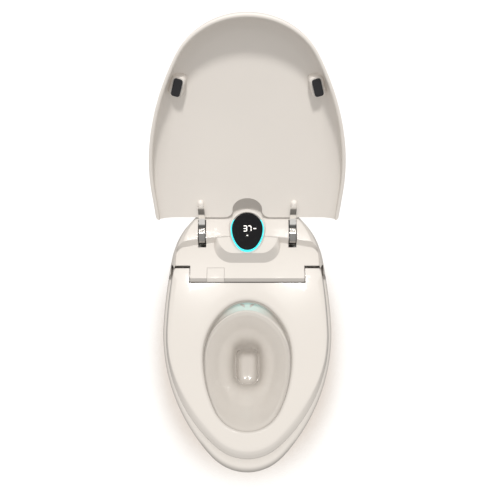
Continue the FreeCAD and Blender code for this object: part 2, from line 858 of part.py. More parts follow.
def seat_feet():
    """Soft pads under the seat that rest on the rim, two a side."""
    feet = []
    for y, x in ((-60.0, 0.765 * 0.5 * seat_width), (-262.0, 0.58 * 0.5 * seat_width)):
        pad = block(x - 0.5 * foot_width, x + 0.5 * foot_width, y - 0.5 * foot_length, y + 0.5 * foot_length, rim_height,
                    seat_underside)
        feet += [round_upright(pad, 0.4 * foot_width), mirrored(round_upright(pad, 0.4 * foot_width))]
    return Part.makeCompound(feet)


# ------------------------------------------------------------------ lid

def lid_wire(share, inset, rear):
    """The lid's outline at a share of the way from its rim to its roof, drawn shut."""
    roll = lid_roll * (1.0 - math.sqrt(1.0 - max(share, 0.0) ** 2))
    half = 0.5 * lid_width - min(roll, 0.98 * lid_roll) - inset
    front = lid_front_y + min(roll, 0.98 * lid_roll) + inset
    z = lid_rim_front_z + share * (lid_depth_front - inset)
    rise = lid_rim_rear_z - lid_rim_front_z + share * (lid_depth_rear - lid_depth_front)
    nose = placed(nosed(half, lid_side_y - front, lid_nose_share * half), lid_side_y, -1.0, z)
    back = [Vector(-half, rear, z), Vector(half, rear, z)]
    sides = [Part.LineSegment(a, b).toShape() for a, b in ((nose[-1], back[0]), (back[0], back[1]), (back[1], nose[0]))]
    tilt = math.degrees(math.atan2(rise, lid_rear_y - lid_front_y))
    return turned_x(Part.Wire([*arcs(nose), *sides]), lid_front_y, z, tilt)


def lid_form(inset, rear, low_share):
    return loft([lid_wire(share, inset, rear) for share in (low_share, 0.5, 0.8, 0.95, 1.0)])


def roof_inside(y):
    """Height of the roof's inner face when shut."""
    share = (y - lid_front_y) / (lid_rear_y - lid_front_y)
    front = lid_rim_front_z + lid_depth_front
    rear = lid_rim_rear_z + lid_depth_rear
    return front + (rear - front) * share - lid_wall


def lid_notch():
    """The mouth that clears the display, flared at the lid's rear edge."""
    deep = lid_rear_y - notch_depth + notch_half
    wide = notch_half + notch_flare
    nook = 1.0 - math.sqrt(0.5)
    z = rim_height
    flare = [Vector(notch_half, deep, z), Vector(notch_half + nook * notch_flare, lid_rear_y - nook * (lid_rear_y - deep), z),
             Vector(wide, lid_rear_y, z)]
    mirror = [Vector(-p.x, p.y, z) for p in flare]
    end = Vector(wide, lid_rear_y + notch_flare, z)
    far = Vector(-wide, end.y, z)
    outline = Part.Wire([
        *arcs(flare),
        Part.LineSegment(flare[-1], end).toShape(),
        Part.LineSegment(end, far).toShape(),
        Part.LineSegment(far, mirror[-1]).toShape(),
        *arcs([*mirror[::-1], Vector(0, deep - notch_half, z), flare[0]]),
    ])
    return slab(outline, z, 2.0 * band_height)


def lid_corner_cut():
    """Rounds a rear corner in plan."""
    half = 0.5 * lid_width
    x = half - lid_corner
    y = lid_rear_y - lid_corner
    corner = block(x, half + past, y, lid_rear_y + past, rim_height, 2.0 * band_height)
    return corner.cut(rod_z(x, y, rim_height, 2.0 * band_height, lid_corner))


def arm_boss():
    """Bullet-shaped boss on the roof's inner face, ahead of the arm's end."""
    radius = 0.5 * arm_width
    y = lid_pivot_y - arm_reach
    z = roof_inside(y)
    body = rod_y(arm_x, y - 2.2 * radius, y, z, radius)
    tip = Part.makeSphere(radius, Vector(arm_x, y - 2.2 * radius, z))
    return body.fuse(tip).cut(block(arm_x - arm_width, arm_x + arm_width, y - 2.0 * arm_reach, y + arm_reach,
                                    z + 0.5 * lid_wall, z + arm_width))


def seat_top(y):
    """Height of the seat's top surface."""
    front_y = seat_slope_width - seat_nose
    return seat_front_height + seat_rise * (y - front_y) / (seat_rear_y - front_y)


def bumper_place(width, length, low, high):
    """A round-cornered pad under the lid's side, between two heights above the seat's top."""
    pad = round_upright(block(-0.5 * width, 0.5 * width, -0.5 * length, 0.5 * length, low, high), 0.3 * width)
    pad.rotate(Vector(0, 0, 0), Vector(0, 0, 1), -bumper_turn)
    rise = seat_top(1.0) - seat_top(0.0)
    pad.rotate(Vector(0, 0, 0), Vector(1, 0, 0), math.degrees(math.atan(rise)))
    pad.translate(Vector(bumper_x, bumper_y, seat_top(bumper_y)))
    return pad


def lid_shell():
    """The lid, drawn shut: a thin shell with rounded side walls, open along its rear edge."""
    outside = lid_form(0.0, lid_rear_y, 0.0)
    shell = outside.cut(lid_form(lid_wall, lid_rear_y + lid_roll, -0.3))
    column = bumper_place(bumper_width + 2.0 * bumper_margin, bumper_length + 2.0 * bumper_margin,
                          fit + bumper_thickness, lid_depth_front).common(lid_form(0.5 * lid_wall, lid_rear_y, 0.0))
    corner = lid_corner_cut()
    shell = without(shell, [lid_notch(), corner, mirrored(corner)])
    for boss in (column, mirrored(column), arm_boss(), mirrored(arm_boss())):
        shell = shell.fuse(boss)
    return shell


def lid_bumper():
    return bumper_place(bumper_width, bumper_length, fit, fit + bumper_thickness)


def lid_arm():
    """Polished arm: a drum on the hinge axis and a blade that lies under the lid's roof."""
    x0 = arm_x - 0.5 * arm_width
    x1 = arm_x + 0.5 * arm_width
    tip_y = lid_pivot_y - arm_reach
    drum_top = (lid_pivot_y - 0.25 * arm_drum, lid_pivot_z + 0.96 * arm_drum)
    blade = [
        (tip_y, roof_inside(tip_y)),
        (lid_rear_y, roof_inside(lid_rear_y)),
        drum_top,
        (lid_pivot_y, lid_pivot_z),
        (lid_pivot_y - 0.9 * arm_drum, lid_pivot_z),
        (lid_rear_y, roof_inside(lid_rear_y) - arm_thickness),
        (tip_y, roof_inside(tip_y) - arm_thickness),
    ]
    drum = rod_x(x0, x1, lid_pivot_y, lid_pivot_z, arm_drum)
    bore = rod_x(x0 - past, x1 + past, lid_pivot_y, lid_pivot_z, lid_pin_radius)
    return united([drum, profile_x(blade, x0, x1)]).cut(bore)


def opened(shape):
    """The lid's pieces are drawn shut and turned to rest, fully open."""
    return turned_x(shape, lid_pivot_y, lid_pivot_z, -lid_open_angle)


def lid_pins():
    inner = arm_x - 0.5 * arm_width - damper_length
    return both_sides(rod_x(inner, arm_x + 0.5 * arm_width + slot_clearance, lid_pivot_y, lid_pivot_z, lid_pin_radius))


# ------------------------------------------------------------------ wands

def along_wand(shape):
    """Places a shape drawn along +Y from the origin on the wands' slanted axis."""
    copy = turned_x(shape, 0.0, 0.0, wand_tilt)
    copy.translate(Vector(0, wand_tip_y, wand_tip_z))
    return copy


def wall_front(gap):
    """Everything ahead of the rim wall's leaning rear plane."""
    slope = wall_slant / ledge_drop
    low = rim_height - 4.0 * ledge_drop
    high = rim_height + ledge_drop
    middle = bowl_rear + gap
    return profile_x([(middle - slope * (rim_height - low), low), (-front_reach, low), (-front_reach, high),
                      (middle + slope * (high - rim_height), high)], -carrier_half - past, carrier_half + past)


def wand():
    """A wash wand with a rack along its back and outlets under its tip."""
    pitch = math.pi * gear_module
    root = rack_pitch_line - dedendum * gear_module
    tip = rack_pitch_line + addendum * gear_module
    start = pinion_at - 1.5 * pitch
    count = int(wand_travel / pitch) + 3
    half_root = 0.25 * (pitch - gear_backlash) + dedendum * gear_module * math.tan(math.radians(20.0))
    half_tip = 0.25 * (pitch - gear_backlash) - addendum * gear_module * math.tan(math.radians(20.0))
    outline = [(start - half_root, 0.0), (start - half_root, root)]
    for i in range(count):
        middle = start + i * pitch
        outline += [(middle - half_root, root), (middle - half_tip, tip), (middle + half_tip, tip), (middle + half_root, root)]
    outline.append((outline[-1][0], 0.0))
    rack = profile_x(outline[:1] + outline[2:], wand_x - 0.5 * rack_width, wand_x + 0.5 * rack_width)
    barrel = rod_y(wand_x, -wand_radius, wand_length, 0.0, wand_radius)
    jets = [rod_z(wand_x, step * 3.0 * nozzle_radius, -2.0 * wand_radius, 0.0, nozzle_radius) for step in (3, 4.5)]
    return along_wand(barrel.fuse(rack)).cut(wall_front(0.2)).cut(along_wand(Part.makeCompound(jets)))


def wand_pinion():
    """Pinion on its motor's shaft, with a tooth in the rack's gap."""
    pitch_radius = 0.5 * gear_module * gear_teeth
    tip = pitch_radius + addendum * gear_module
    root = pitch_radius - dedendum * gear_module
    step = 2.0 * math.pi / gear_teeth
    half = 0.25 * step - 0.25 * gear_backlash / pitch_radius
    lean = math.tan(math.radians(20.0)) * gear_module
    at_tip = half * pitch_radius / tip - 0.9 * lean * addendum / tip
    at_root = half * pitch_radius / root + 0.4 * lean * dedendum / root
    points = []
    for i in range(gear_teeth):
        middle = -0.5 * math.pi + i * step
        for radius, angle in ((root, -at_root), (tip, -at_tip), (tip, at_tip), (root, at_root)):
            points.append((radius * math.cos(middle + angle), radius * math.sin(middle + angle)))
    gear = profile_x(points, wand_x - 0.5 * pinion_width, wand_x + 0.5 * pinion_width)
    shaft = rod_x(wand_x, wand_x + pinion_width + shaft_radius, 0.0, 0.0, shaft_radius)
    pinion = gear.fuse(shaft)
    pinion.translate(Vector(0, pinion_at, rack_pitch_line + pitch_radius))
    return along_wand(pinion)


def motor_start():
    return wand_x + 0.5 * pinion_width + past


def wand_motor():
    """Small stepper beside each pinion."""
    x0 = motor_start()
    z = rack_pitch_line + 0.5 * gear_module * gear_teeth
    body = rod_x(x0, x0 + motor_length, pinion_at, z, motor_radius)
    bore = rod_x(x0 - past, x0 + 0.5 * motor_length, pinion_at, z, shaft_radius + running)
    return along_wand(body.cut(bore))


def motor_cradle():
    """Saddle on the chassis under each motor."""
    x0 = motor_start() + 0.25 * motor_length
    saddle = along_wand(block(x0, x0 + 0.6 * motor_length, pinion_at - motor_radius, pinion_at + motor_radius, -motor_radius,
                              rack_pitch_line))
    place = block(x0 - past, body_width, -front_reach, rear_reach, rim_height + chassis_thickness, band_height)
    z = rack_pitch_line + 0.5 * gear_module * gear_teeth
    body = along_wand(rod_x(x0 - motor_length, x0 + 2.0 * motor_length, pinion_at, z, motor_radius))
    foot = saddle.BoundBox
    pad = block(foot.XMin, foot.XMax + motor_radius, foot.YMin, foot.YMax, rim_height + chassis_thickness,
                rim_height + 2.0 * chassis_thickness)
    return without(united([saddle.common(place), pad]), [body])


def carrier(start, end, top):
    """A block with two bores for the wands and room for their racks."""
    form = block(-carrier_half, carrier_half, start, end, -carrier_low, top)
    bore = rod_y(wand_x, -wand_length, wand_length, 0.0, wand_radius + wand_running)
    half = 0.5 * rack_width + fit
    slot = block(wand_x - half, wand_x + half, start - past, end + past, 0.0, rack_pitch_line + 2.0 * gear_module)
    return form, [bore, mirrored(bore)], [slot, mirrored(slot)]


def nozzle_housing():
    """Front carrier of the wands, flush with the rim wall and seated in the china's bay."""
    form, bores, slots = carrier(-2.0 * spout_length, spout_length, carrier_high)
    form = along_wand(form)
    foot = form.BoundBox
    skirt = block(-carrier_half, carrier_half, foot.YMin, foot.YMax, bay_floor, rim_height)
    body = form.fuse(skirt).common(block(-carrier_half, carrier_half, foot.YMin, block_front_y, bay_floor, spout_height))
    body = body.cut(block(-carrier_half, carrier_half, -front_reach, block_front_y, seat_underside - 2.0 * past, spout_height))
    return without(body, [wall_front(0.0)] + [along_wand(bore) for bore in bores])


def wand_guide():
    """Rear carrier of the wands, standing on the chassis."""
    form, bores, slots = carrier(guide_at, guide_at + guide_length, carrier_high)
    form = along_wand(form)
    foot = form.BoundBox
    low = rim_height + chassis_thickness
    stand = block(-carrier_half, carrier_half, foot.YMin, foot.YMax, low, foot.Center.z)
    return without(form.fuse(stand), [along_wand(cut) for cut in bores + slots])


def night_light():
    """Light strip on the nozzle housing, behind the rim wall."""
    half = 0.6 * carrier_half
    return along_wand(block(-half, half, 0.7 * spout_length, 0.95 * spout_length, carrier_high, carrier_high + past))


# ------------------------------------------------------------------ fans

def fan_case():
    """A drum with an inlet eye on top, an outlet in its side and a post for the wheel."""
    low = rim_height + chassis_thickness
    top = low + fan_height
    drum = rod_z(fan_x, fan_y, low, top, fan_radius)
    room = rod_z(fan_x, fan_y, low + fan_wall, top - fan_wall, fan_radius - fan_wall)
    eye = rod_z(fan_x, fan_y, top - 2.0 * fan_wall, top + past, fan_eye)
    post = rod_z(fan_x, fan_y, low, top - 3.0 * fan_wall, fan_post)
    return drum.cut(room).cut(eye).fuse(post)


def dryer_housing():
    """Warm-air fan with its outlet tunnel towards the duct."""
    low = rim_height + chassis_thickness
    y0 = duct_rear_y - 2.0 * fan_wall - 2.0 * duct_height
    tunnel = block(duct_outer, fan_x, y0, duct_rear_y, low, low + 2.0 * duct_height)
    opening = block(duct_outer - past, fan_x - fan_eye, y0 + duct_wall, duct_rear_y - duct_wall, low + duct_wall,
                    low + 2.0 * duct_height - duct_wall)
    room = rod_z(fan_x, fan_y, low + fan_wall, low + fan_height - fan_wall, fan_radius - fan_wall)
    case = fan_case()
    return case.fuse(tunnel.cut(room)).cut(opening)


def deodoriser_housing():
    return mirrored(fan_case())


def dryer_duct():
    """Flat duct from the fan's tunnel, under the seat's rear, to the bowl's edge."""
    low = rim_height
    run = block(duct_inner, duct_outer, duct_front_y, duct_rear_y, low, low + duct_height)
    y0 = duct_rear_y - 2.0 * fan_wall - 2.0 * duct_height
    riser = block(duct_inner, duct_outer, y0, duct_rear_y, low, low + chassis_thickness + 2.0 * duct_height)
    inside = block(duct_inner + duct_wall, duct_outer - duct_wall, duct_front_y - past, duct_rear_y - duct_wall,
                   low + duct_wall, low + duct_height - duct_wall)
    lift = block(duct_inner + duct_wall, duct_outer + past, y0 + duct_wall, duct_rear_y - duct_wall,
                 low + chassis_thickness + duct_wall, low + chassis_thickness + 2.0 * duct_height - duct_wall)
    return united([run, riser]).cut(inside).cut(lift)


def fan_wheel(x):
    """A hub, a disc and backward-leaning blades on the post."""
    low = rim_height + chassis_thickness + fan_wall + fan_gap
    top = low + fan_height - 2.0 * fan_wall - 2.0 * fan_gap
    reach = fan_radius - fan_wall - fan_gap
    wheel = rod_z(0, 0, low, low + fan_wall, reach).fuse(rod_z(0, 0, low, top - fan_wall, fan_hub))
    blade = block(fan_hub - past, reach - fan_wall, -0.5 * duct_wall, 0.5 * duct_wall, low + 0.5 * fan_wall, top)
    for i in range(fan_blades):
        turned = blade.copy()
        turned.rotate(Vector(fan_hub, 0, 0), Vector(0, 0, 1), 20.0)
        turned.rotate(Vector(0, 0, 0), Vector(0, 0, 1), 360.0 * i / fan_blades)
        wheel = wheel.fuse(turned)
    wheel = wheel.cut(rod_z(0, 0, low - past, top + past, fan_post + running))
    wheel.translate(Vector(x, fan_y, 0))
    return wheel


# ------------------------------------------------------------------ other works

def water_heater():
    """Instant heater standing on the well's floor, with its two pipe stubs."""
    x0 = 0.5 * china_wall
    y0 = well_front + china_wall
    body = round_upright(block(x0, x0 + heater_width, y0, y0 + heater_depth, well_floor, well_floor + heater_height),
                         china_wall)
    stubs = [rod_z(x0 + share * heater_width, y0 + 0.5 * heater_depth, well_floor + heater_height - past,
                   well_floor + heater_height + china_wall, gland_radius) for share in (0.25, 0.75)]
    return united([body, *stubs])


def water_pump():
    x = -well_half + pump_radius + china_wall
    y = well_front + pump_radius + china_wall
    body = rod_z(x, y, well_floor, well_floor + pump_height, pump_radius)
    head = rod_z(x, y, well_floor + pump_height, well_floor + pump_height + china_wall, 0.6 * pump_radius)
    spout = rod_x(x, x + 1.4 * pump_radius, y, well_floor + 0.6 * pump_height, gland_radius)
    return united([body, head, spout])


def inlet_valve():
    """Solenoid valve on the inlet's flange, carried by a leg to the well's floor."""
    rear = rear_reach - 2.0 * china_wall
    body = rod_y(-inlet_x, rear - valve_length, rear, inlet_z, valve_radius)
    middle = rear - 0.5 * valve_length
    coil = rod_z(-inlet_x, middle, inlet_z, inlet_z + 2.4 * valve_radius, 0.85 * valve_radius)
    leg = block(-inlet_x - 0.4 * valve_radius, -inlet_x + 0.4 * valve_radius, middle - 0.4 * valve_radius,
                middle + 0.4 * valve_radius, well_floor, inlet_z)
    return united([body, coil, leg])


def refill_bottle():
    """Cleaner bottle under the service cover, its neck up to the cover."""
    low = rim_height + chassis_thickness
    x0 = -cover_outer + housing_skin
    x1 = -cover_inner - housing_skin
    y0 = block_front_y + 3.0 * housing_skin
    y1 = cover_rear_y - housing_skin
    neck_z = deck_height - 4.0 * housing_skin
    body = round_upright(block(x0, x1, y0, y1, low, neck_z), housing_skin)
    neck = rod_z(0.5 * (x0 + x1), 0.5 * (y0 + y1), neck_z, deck_height - housing_skin, 0.24 * (x1 - x0))
    return united([body, neck])


def power_supply():
    low = rim_height + chassis_thickness
    x0 = carrier_half + 0.5 * china_wall
    y0 = well_front + china_wall
    form = block(-x0 - supply_width, -x0, y0, y0 + supply_depth, low, low + supply_height)
    return round_upright(form, housing_skin)


def board_posts():
    x = 0.5 * board_width - 2.0 * standoff_radius
    y = 0.5 * board_depth - 2.0 * standoff_radius
    return [(sx * x, board_y + sy * y) for sx in (-1, 1) for sy in (-1, 1)]


def control_board():
    """Main board on four standoffs, with its taller parts."""
    low = rim_height + chassis_thickness
    z = low + standoff_height
    half = 0.5 * board_width
    plate = block(-half, half, board_y - 0.5 * board_depth, board_y + 0.5 * board_depth, z, z + board_thickness)
    posts = [rod_z(x, y, low, z, standoff_radius) for x, y in board_posts()]
    relays = [block(x, x + china_wall, board_y - 0.5 * china_wall, board_y + 0.5 * china_wall, z, z + china_wall)
              for x in (-2.5 * china_wall, -china_wall, 0.5 * china_wall)]
    return united([plate, *posts, *relays])


def damper(inner, outer, y, z, radius, pin):
    """Soft-close damper with its bracket down to the chassis, bored for a pin."""
    low = rim_height + chassis_thickness
    body = rod_x(inner, outer, y, z, radius)
    bracket = block(inner, outer, y - 0.5 * damper_foot, y + 0.5 * damper_foot, low, z)
    return united([body, bracket]).cut(rod_x(inner - past, outer + past, y, z, pin + running))


def lid_damper():
    outer = arm_x - 0.5 * arm_width - fit
    return damper(outer - damper_length, outer, lid_pivot_y, lid_pivot_z, damper_radius, lid_pin_radius)


def seat_damper():
    outer = block_half - housing_skin
    return damper(outer - damper_length, outer, seat_pivot_y, seat_pivot_z, seat_damper_radius, seat_pin_radius)


def chassis_bolts():
    """Round heads that hold the chassis to the china."""
    z = rim_height + chassis_thickness
    rear_y = rear_reach - 3.0 * china_wall
    places = [(arm_x, rear_y - 2.0 * china_wall), (arm_x, 1.8 * china_wall)]
    return Part.makeCompound([rod_z(side * x, y, z, z + screw_height, 1.5 * screw_radius)
                              for x, y in places for side in (-1, 1)])


# ------------------------------------------------------------------ build

def save(name, shape):
    shape.exportStep("parts/" + name + ".step")


def build():
    os.makedirs("parts", exist_ok=True)
    sides = (("left", mirrored), ("right", lambda shape: shape))
    save("ceramic_bowl", ceramic_bowl())
    save("outlet_socket", outlet_socket())
    save("fixing_nuts", fixing_nuts())
    save("water_inlet", water_inlet())
    save("power_gland", power_gland())
    save("top_housing", top_housing())
    save("service_cover", cover_form(0.0))
    save("chassis", chassis())
    save("chassis_bolts", chassis_bolts())
    save("display_lens", display_lens())
    save("light_ring", light_ring())
    save("display_board", display_board())
    save("seat_cover", seat_cover())
    save("seat_base", seat_base())
    save("seat_heater", seat_heater())
    save("seat_feet", seat_feet())
    save("seat_hinge_pins", seat_pins())
    save("lid_shell", opened(lid_shell()))
    save("lid_hinge_pins", lid_pins())
    save("nozzle_housing", nozzle_housing())
    save("wand_guide", wand_guide())
    save("night_light", night_light())
    save("wand_motors", both_sides(wand_motor()))
    save("motor_cradles", both_sides(motor_cradle()))
    save("dryer_housing", dryer_housing())
    save("dryer_duct", dryer_duct())
    save("dryer_impeller", fan_wheel(fan_x))
    save("deodoriser_housing", deodoriser_housing())
    save("deodoriser_impeller", fan_wheel(-fan_x))
    save("water_heater", water_heater())
    save("water_pump", water_pump())
    save("inlet_valve", inlet_valve())
    save("refill_bottle", refill_bottle())
    save("power_supply", power_supply())
    save("control_board", control_board())
    for word, placed_on in sides:
        save("lid_arm_" + word, placed_on(opened(lid_arm())))
        save("lid_bumper_" + word, placed_on(opened(lid_bumper())))
        save("wand_" + word, placed_on(wand()))
        save("wand_pinion_" + word, placed_on(wand_pinion()))
        save("lid_damper_" + word, placed_on(lid_damper()))
        save("seat_damper_" + word, placed_on(seat_damper()))


build()
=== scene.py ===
import json
import math

import bmesh
import bpy
import numpy as np
from mathutils import Matrix, Vector

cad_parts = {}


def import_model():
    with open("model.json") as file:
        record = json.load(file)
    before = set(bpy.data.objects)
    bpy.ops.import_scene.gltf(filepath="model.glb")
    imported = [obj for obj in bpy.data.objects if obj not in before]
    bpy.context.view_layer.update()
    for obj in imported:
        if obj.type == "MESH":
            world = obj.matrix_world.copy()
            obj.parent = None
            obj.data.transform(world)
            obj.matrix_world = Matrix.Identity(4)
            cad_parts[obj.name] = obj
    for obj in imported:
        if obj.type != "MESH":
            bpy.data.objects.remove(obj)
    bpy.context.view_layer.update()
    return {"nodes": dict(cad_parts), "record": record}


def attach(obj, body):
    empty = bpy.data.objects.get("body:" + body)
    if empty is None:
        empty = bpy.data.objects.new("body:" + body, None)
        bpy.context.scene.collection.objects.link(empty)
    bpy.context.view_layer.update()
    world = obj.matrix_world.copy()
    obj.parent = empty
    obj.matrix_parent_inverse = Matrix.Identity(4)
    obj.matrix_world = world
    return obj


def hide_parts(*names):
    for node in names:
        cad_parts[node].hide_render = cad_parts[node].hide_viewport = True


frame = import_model()
MM = 0.001


# ------------------------------------------------------------------ mesh helpers

def mesh_object(name, points, faces, smooth=True):
    """An object at the origin from points in millimetres and faces by index."""
    mesh = bpy.data.meshes.new(name)
    places = (np.asarray(points, dtype=float) * MM).tolist()
    mesh.from_pydata(places, [], [tuple(map(int, face)) for face in faces])
    mesh.validate()
    if smooth:
        mesh.shade_smooth()
    obj = bpy.data.objects.new(name, mesh)
    bpy.context.collection.objects.link(obj)
    return obj


def rings_mesh(name, rings, close_first=True, close_last=True):
    """A tube of equal rings, with its ends filled by fans."""
    count = len(rings[0])
    points = np.concatenate(rings)
    here = np.arange(count)
    beside = (here + 1) % count
    faces = []
    for i in range(len(rings) - 1):
        low, high = i * count, (i + 1) * count
        faces.extend(np.stack([low + here, low + beside, high + beside, high + here], axis=1).tolist())
    if close_first:
        points = np.vstack([points, rings[0].mean(axis=0)])
        faces.extend([(b, a, len(points) - 1) for a, b in zip(here, beside)])
    if close_last:
        points = np.vstack([points, rings[-1].mean(axis=0)])
        last = (len(rings) - 1) * count
        faces.extend([(last + a, last + b, len(points) - 1) for a, b in zip(here, beside)])
    return mesh_object(name, points, faces)


def box_mesh(name, low, high):
    (x0, y0, z0), (x1, y1, z1) = low, high
    points = [(x, y, z) for z in (z0, z1) for x, y in ((x0, y0), (x1, y0), (x1, y1), (x0, y1))]
    faces = [(0, 3, 2, 1), (4, 5, 6, 7), (0, 1, 5, 4), (1, 2, 6, 5), (2, 3, 7, 6), (3, 0, 4, 7)]
    return mesh_object(name, points, faces, smooth=False)


def prism_mesh(name, outline, z0, z1):
    """An upright prism from an outline that runs anticlockwise seen from above."""
    count = len(outline)
    points = [(x, y, z0) for x, y in outline] + [(x, y, z1) for x, y in outline]
    faces = [tuple(reversed(range(count))), tuple(range(count, 2 * count))]
    faces += [(i, (i + 1) % count, count + (i + 1) % count, count + i) for i in range(count)]
    return mesh_object(name, points, faces, smooth=False)


def settled(obj):
    """Applies an object's modifiers to a new plain mesh."""
    graph = bpy.context.evaluated_depsgraph_get()
    graph.update()
    mesh = bpy.data.meshes.new_from_object(obj.evaluated_get(graph))
    obj.modifiers.clear()
    old = obj.data
    obj.data = mesh
    bpy.data.meshes.remove(old)
    return obj


def cut(obj, cutter):
    """Takes a cutter away from an object and removes the cutter."""
    modifier = obj.modifiers.new("cut", "BOOLEAN")
    modifier.operation = "DIFFERENCE"
    modifier.solver = "EXACT"
    modifier.object = cutter
    settled(obj)
    bpy.data.objects.remove(cutter)
    return obj


def joined(obj, *others):
    """Adds other objects' meshes to obj's own."""
    whole = bmesh.new()
    for part in (obj, *others):
        whole.from_mesh(part.data)
    whole.to_mesh(obj.data)
    whole.free()
    for part in others:
        bpy.data.objects.remove(part)
    return obj


def creased(obj, degrees=38.0):
    """Smooth shading, with a crease where faces meet at more than an angle."""
    obj.data.shade_smooth()
    obj.data.set_sharp_from_angle(angle=math.radians(degrees))
    return obj


# ------------------------------------------------------------------ outlines

BODY_NOSE = 0.56
OUTLINE_REACH = 900.0
HALVINGS = 34
FINER = 4
SMOOTHING_ROUNDS = 12


def end_distance(x, y, half, reach, nose):
    """Distance to a rounded end: a nose arc between two tangent side arcs; x is not negative."""
    side = (half ** 2 + reach ** 2 - 2.0 * reach * nose) / (2.0 * (half - nose))
    left, top = half - side, reach - nose
    turned = -left * y - top * (x - left)
    return np.where(turned > 0.0, np.hypot(x, y - top) - nose, np.hypot(x - left, y) - side)


def corner_distance(x, y, half, reach, corner, flat):
    """Distance to a square end with rounded corners and slightly bowed sides."""
    run = half - flat
    side = (run ** 2 + (reach - corner) ** 2 - corner ** 2) / (2.0 * (run - corner))
    left, top = half - side, reach - corner
    turned = (flat - left) * y - top * (x - left)
    beside = np.where(turned > 0.0, np.hypot(x - flat, y - top) - corner, np.hypot(x - left, y) - side)
    return np.where((x < flat) & (y > 0.0), y - reach, beside)


def egg_distance(x, y, half, rear, front, waist, shares):
    """Distance to an egg: shares are the radii of its rear and front ends as shares of half its width."""
    ahead = end_distance(np.abs(x), waist - y, half, waist - front, shares[1] * half)
    behind = end_distance(np.abs(x), y - waist, half, rear - waist, shares[0] * half)
    return np.where(y < waist, ahead, behind)


def body_distance(x, y, half, front, rear, waist, corner=0.82, flat=0.13):
    """Distance to an outline with a rounded front and a square rear; corner and flat are shares of half."""
    ahead = end_distance(np.abs(x), waist - y, half, waist - front, BODY_NOSE * half)
    behind = corner_distance(np.abs(x), y - waist, half, rear - waist, corner * half, flat * half)
    return np.where(y < waist, ahead, behind)


def ring(distance, centre, count=288, smoothing=5, even=True):
    """Points of a closed outline round centre, slightly smoothed and, by default, evenly spaced."""
    angle = np.linspace(0.0, 2.0 * math.pi, FINER * count, endpoint=False) - 0.5 * math.pi
    along = np.stack([np.cos(angle), np.sin(angle)])
    near, far = np.zeros_like(angle), np.full_like(angle, OUTLINE_REACH)
    for _ in range(HALVINGS):
        middle = 0.5 * (near + far)
        within = distance(centre[0] + along[0] * middle, centre[1] + along[1] * middle) < 0.0
        near, far = np.where(within, middle, near), np.where(within, far, middle)
    points = np.stack([centre[0] + along[0] * near, centre[1] + along[1] * near], axis=1)
    for _ in range(smoothing * SMOOTHING_ROUNDS):
        points = 0.5 * points + 0.25 * (np.roll(points, 1, axis=0) + np.roll(points, -1, axis=0))
    if not even:
        return points[::FINER]
    steps = np.hypot(*(np.roll(points, -1, axis=0) - points).T)
    travelled = np.concatenate([[0.0], np.cumsum(steps)])
    wanted = np.linspace(0.0, travelled[-1], count, endpoint=False)
    closed = np.vstack([points, points[:1]])
    return np.stack([np.interp(wanted, travelled, closed[:, i]) for i in (0, 1)], axis=1)


def at_height(outline, z):
    """An outline's points at one height, or each at its own."""
    return np.column_stack([outline, np.broadcast_to(z, len(outline))])


def arc_points(cx, cy, radius, start, end, steps=10):
    """Points of an arc, from one angle in degrees to another."""
    turns = np.radians(np.linspace(start, end, steps))
    return [(cx + radius * math.cos(t), cy + radius * math.sin(t)) for t in turns]


def quarter(steps):
    """Turns of a quarter circle, from 0."""
    return np.linspace(0.0, 0.5 * math.pi, steps)


def blended(start, end, shares):
    """Rings at shares of the way from one ring, or a point, to another ring."""
    return [start + (end - start) * share for share in shares]


def eased(x, knots, values):
    """A smooth curve through (knot, value) pairs that never overshoots."""
    knots, values = np.asarray(knots, float), np.asarray(values, float)
    slopes = np.diff(values) / np.diff(knots)
    tangents = np.zeros_like(values)
    same = slopes[:-1] * slopes[1:] > 0.0
    tangents[1:-1][same] = 2.0 * slopes[:-1][same] * slopes[1:][same] / (slopes[:-1] + slopes[1:])[same]
    tangents[0], tangents[-1] = slopes[0], slopes[-1]
    i = np.clip(np.searchsorted(knots, x) - 1, 0, len(slopes) - 1)
    run = knots[i + 1] - knots[i]
    t = (x - knots[i]) / run
    return ((2 * t ** 3 - 3 * t ** 2 + 1) * values[i] + (t ** 3 - 2 * t ** 2 + t) * run * tangents[i]
            + (3 * t ** 2 - 2 * t ** 3) * values[i + 1] + (t ** 3 - t ** 2) * run * tangents[i + 1])


# ------------------------------------------------------------------ material helpers

COAT_ROUGHNESS = 0.05
UNEVEN_DEPTH = 0.0004
# Widths in millimetres over which the painted front shade and the painted lamp glow fade in.
SHADE_EDGE = 12.0
LAMP_GLOW_EDGE = 1.2
METAL_WARMTH = (1.0, 0.975, 0.94)


def new_material(name):
    material = bpy.data.materials.new(name)
    material.use_nodes = True
    return material, material.node_tree


def node(tree, kind, inputs=None, **settings):
    """A new shader node, with its settings by attribute and its inputs by name."""
    made = tree.nodes.new("ShaderNode" + kind)
    for name, value in settings.items():
        setattr(made, name, value)
    for name, value in (inputs or {}).items():
        made.inputs[name].default_value = value
    return made


def wire(tree, source, output, target, socket):
    """Links an output of one node to an input of another, each by name or number."""
    tree.links.new(source.outputs[output], target.inputs[socket])


def axes_of(tree, kind, output):
    """The x, y and z of a new node's output."""
    split = node(tree, "SeparateXYZ")
    wire(tree, node(tree, kind), output, split, "Vector")
    return split


def tinted(colour, share):
    """A colour made lighter or darker, with its alpha."""
    return (*[min(1.0, c * share) for c in colour], 1.0)


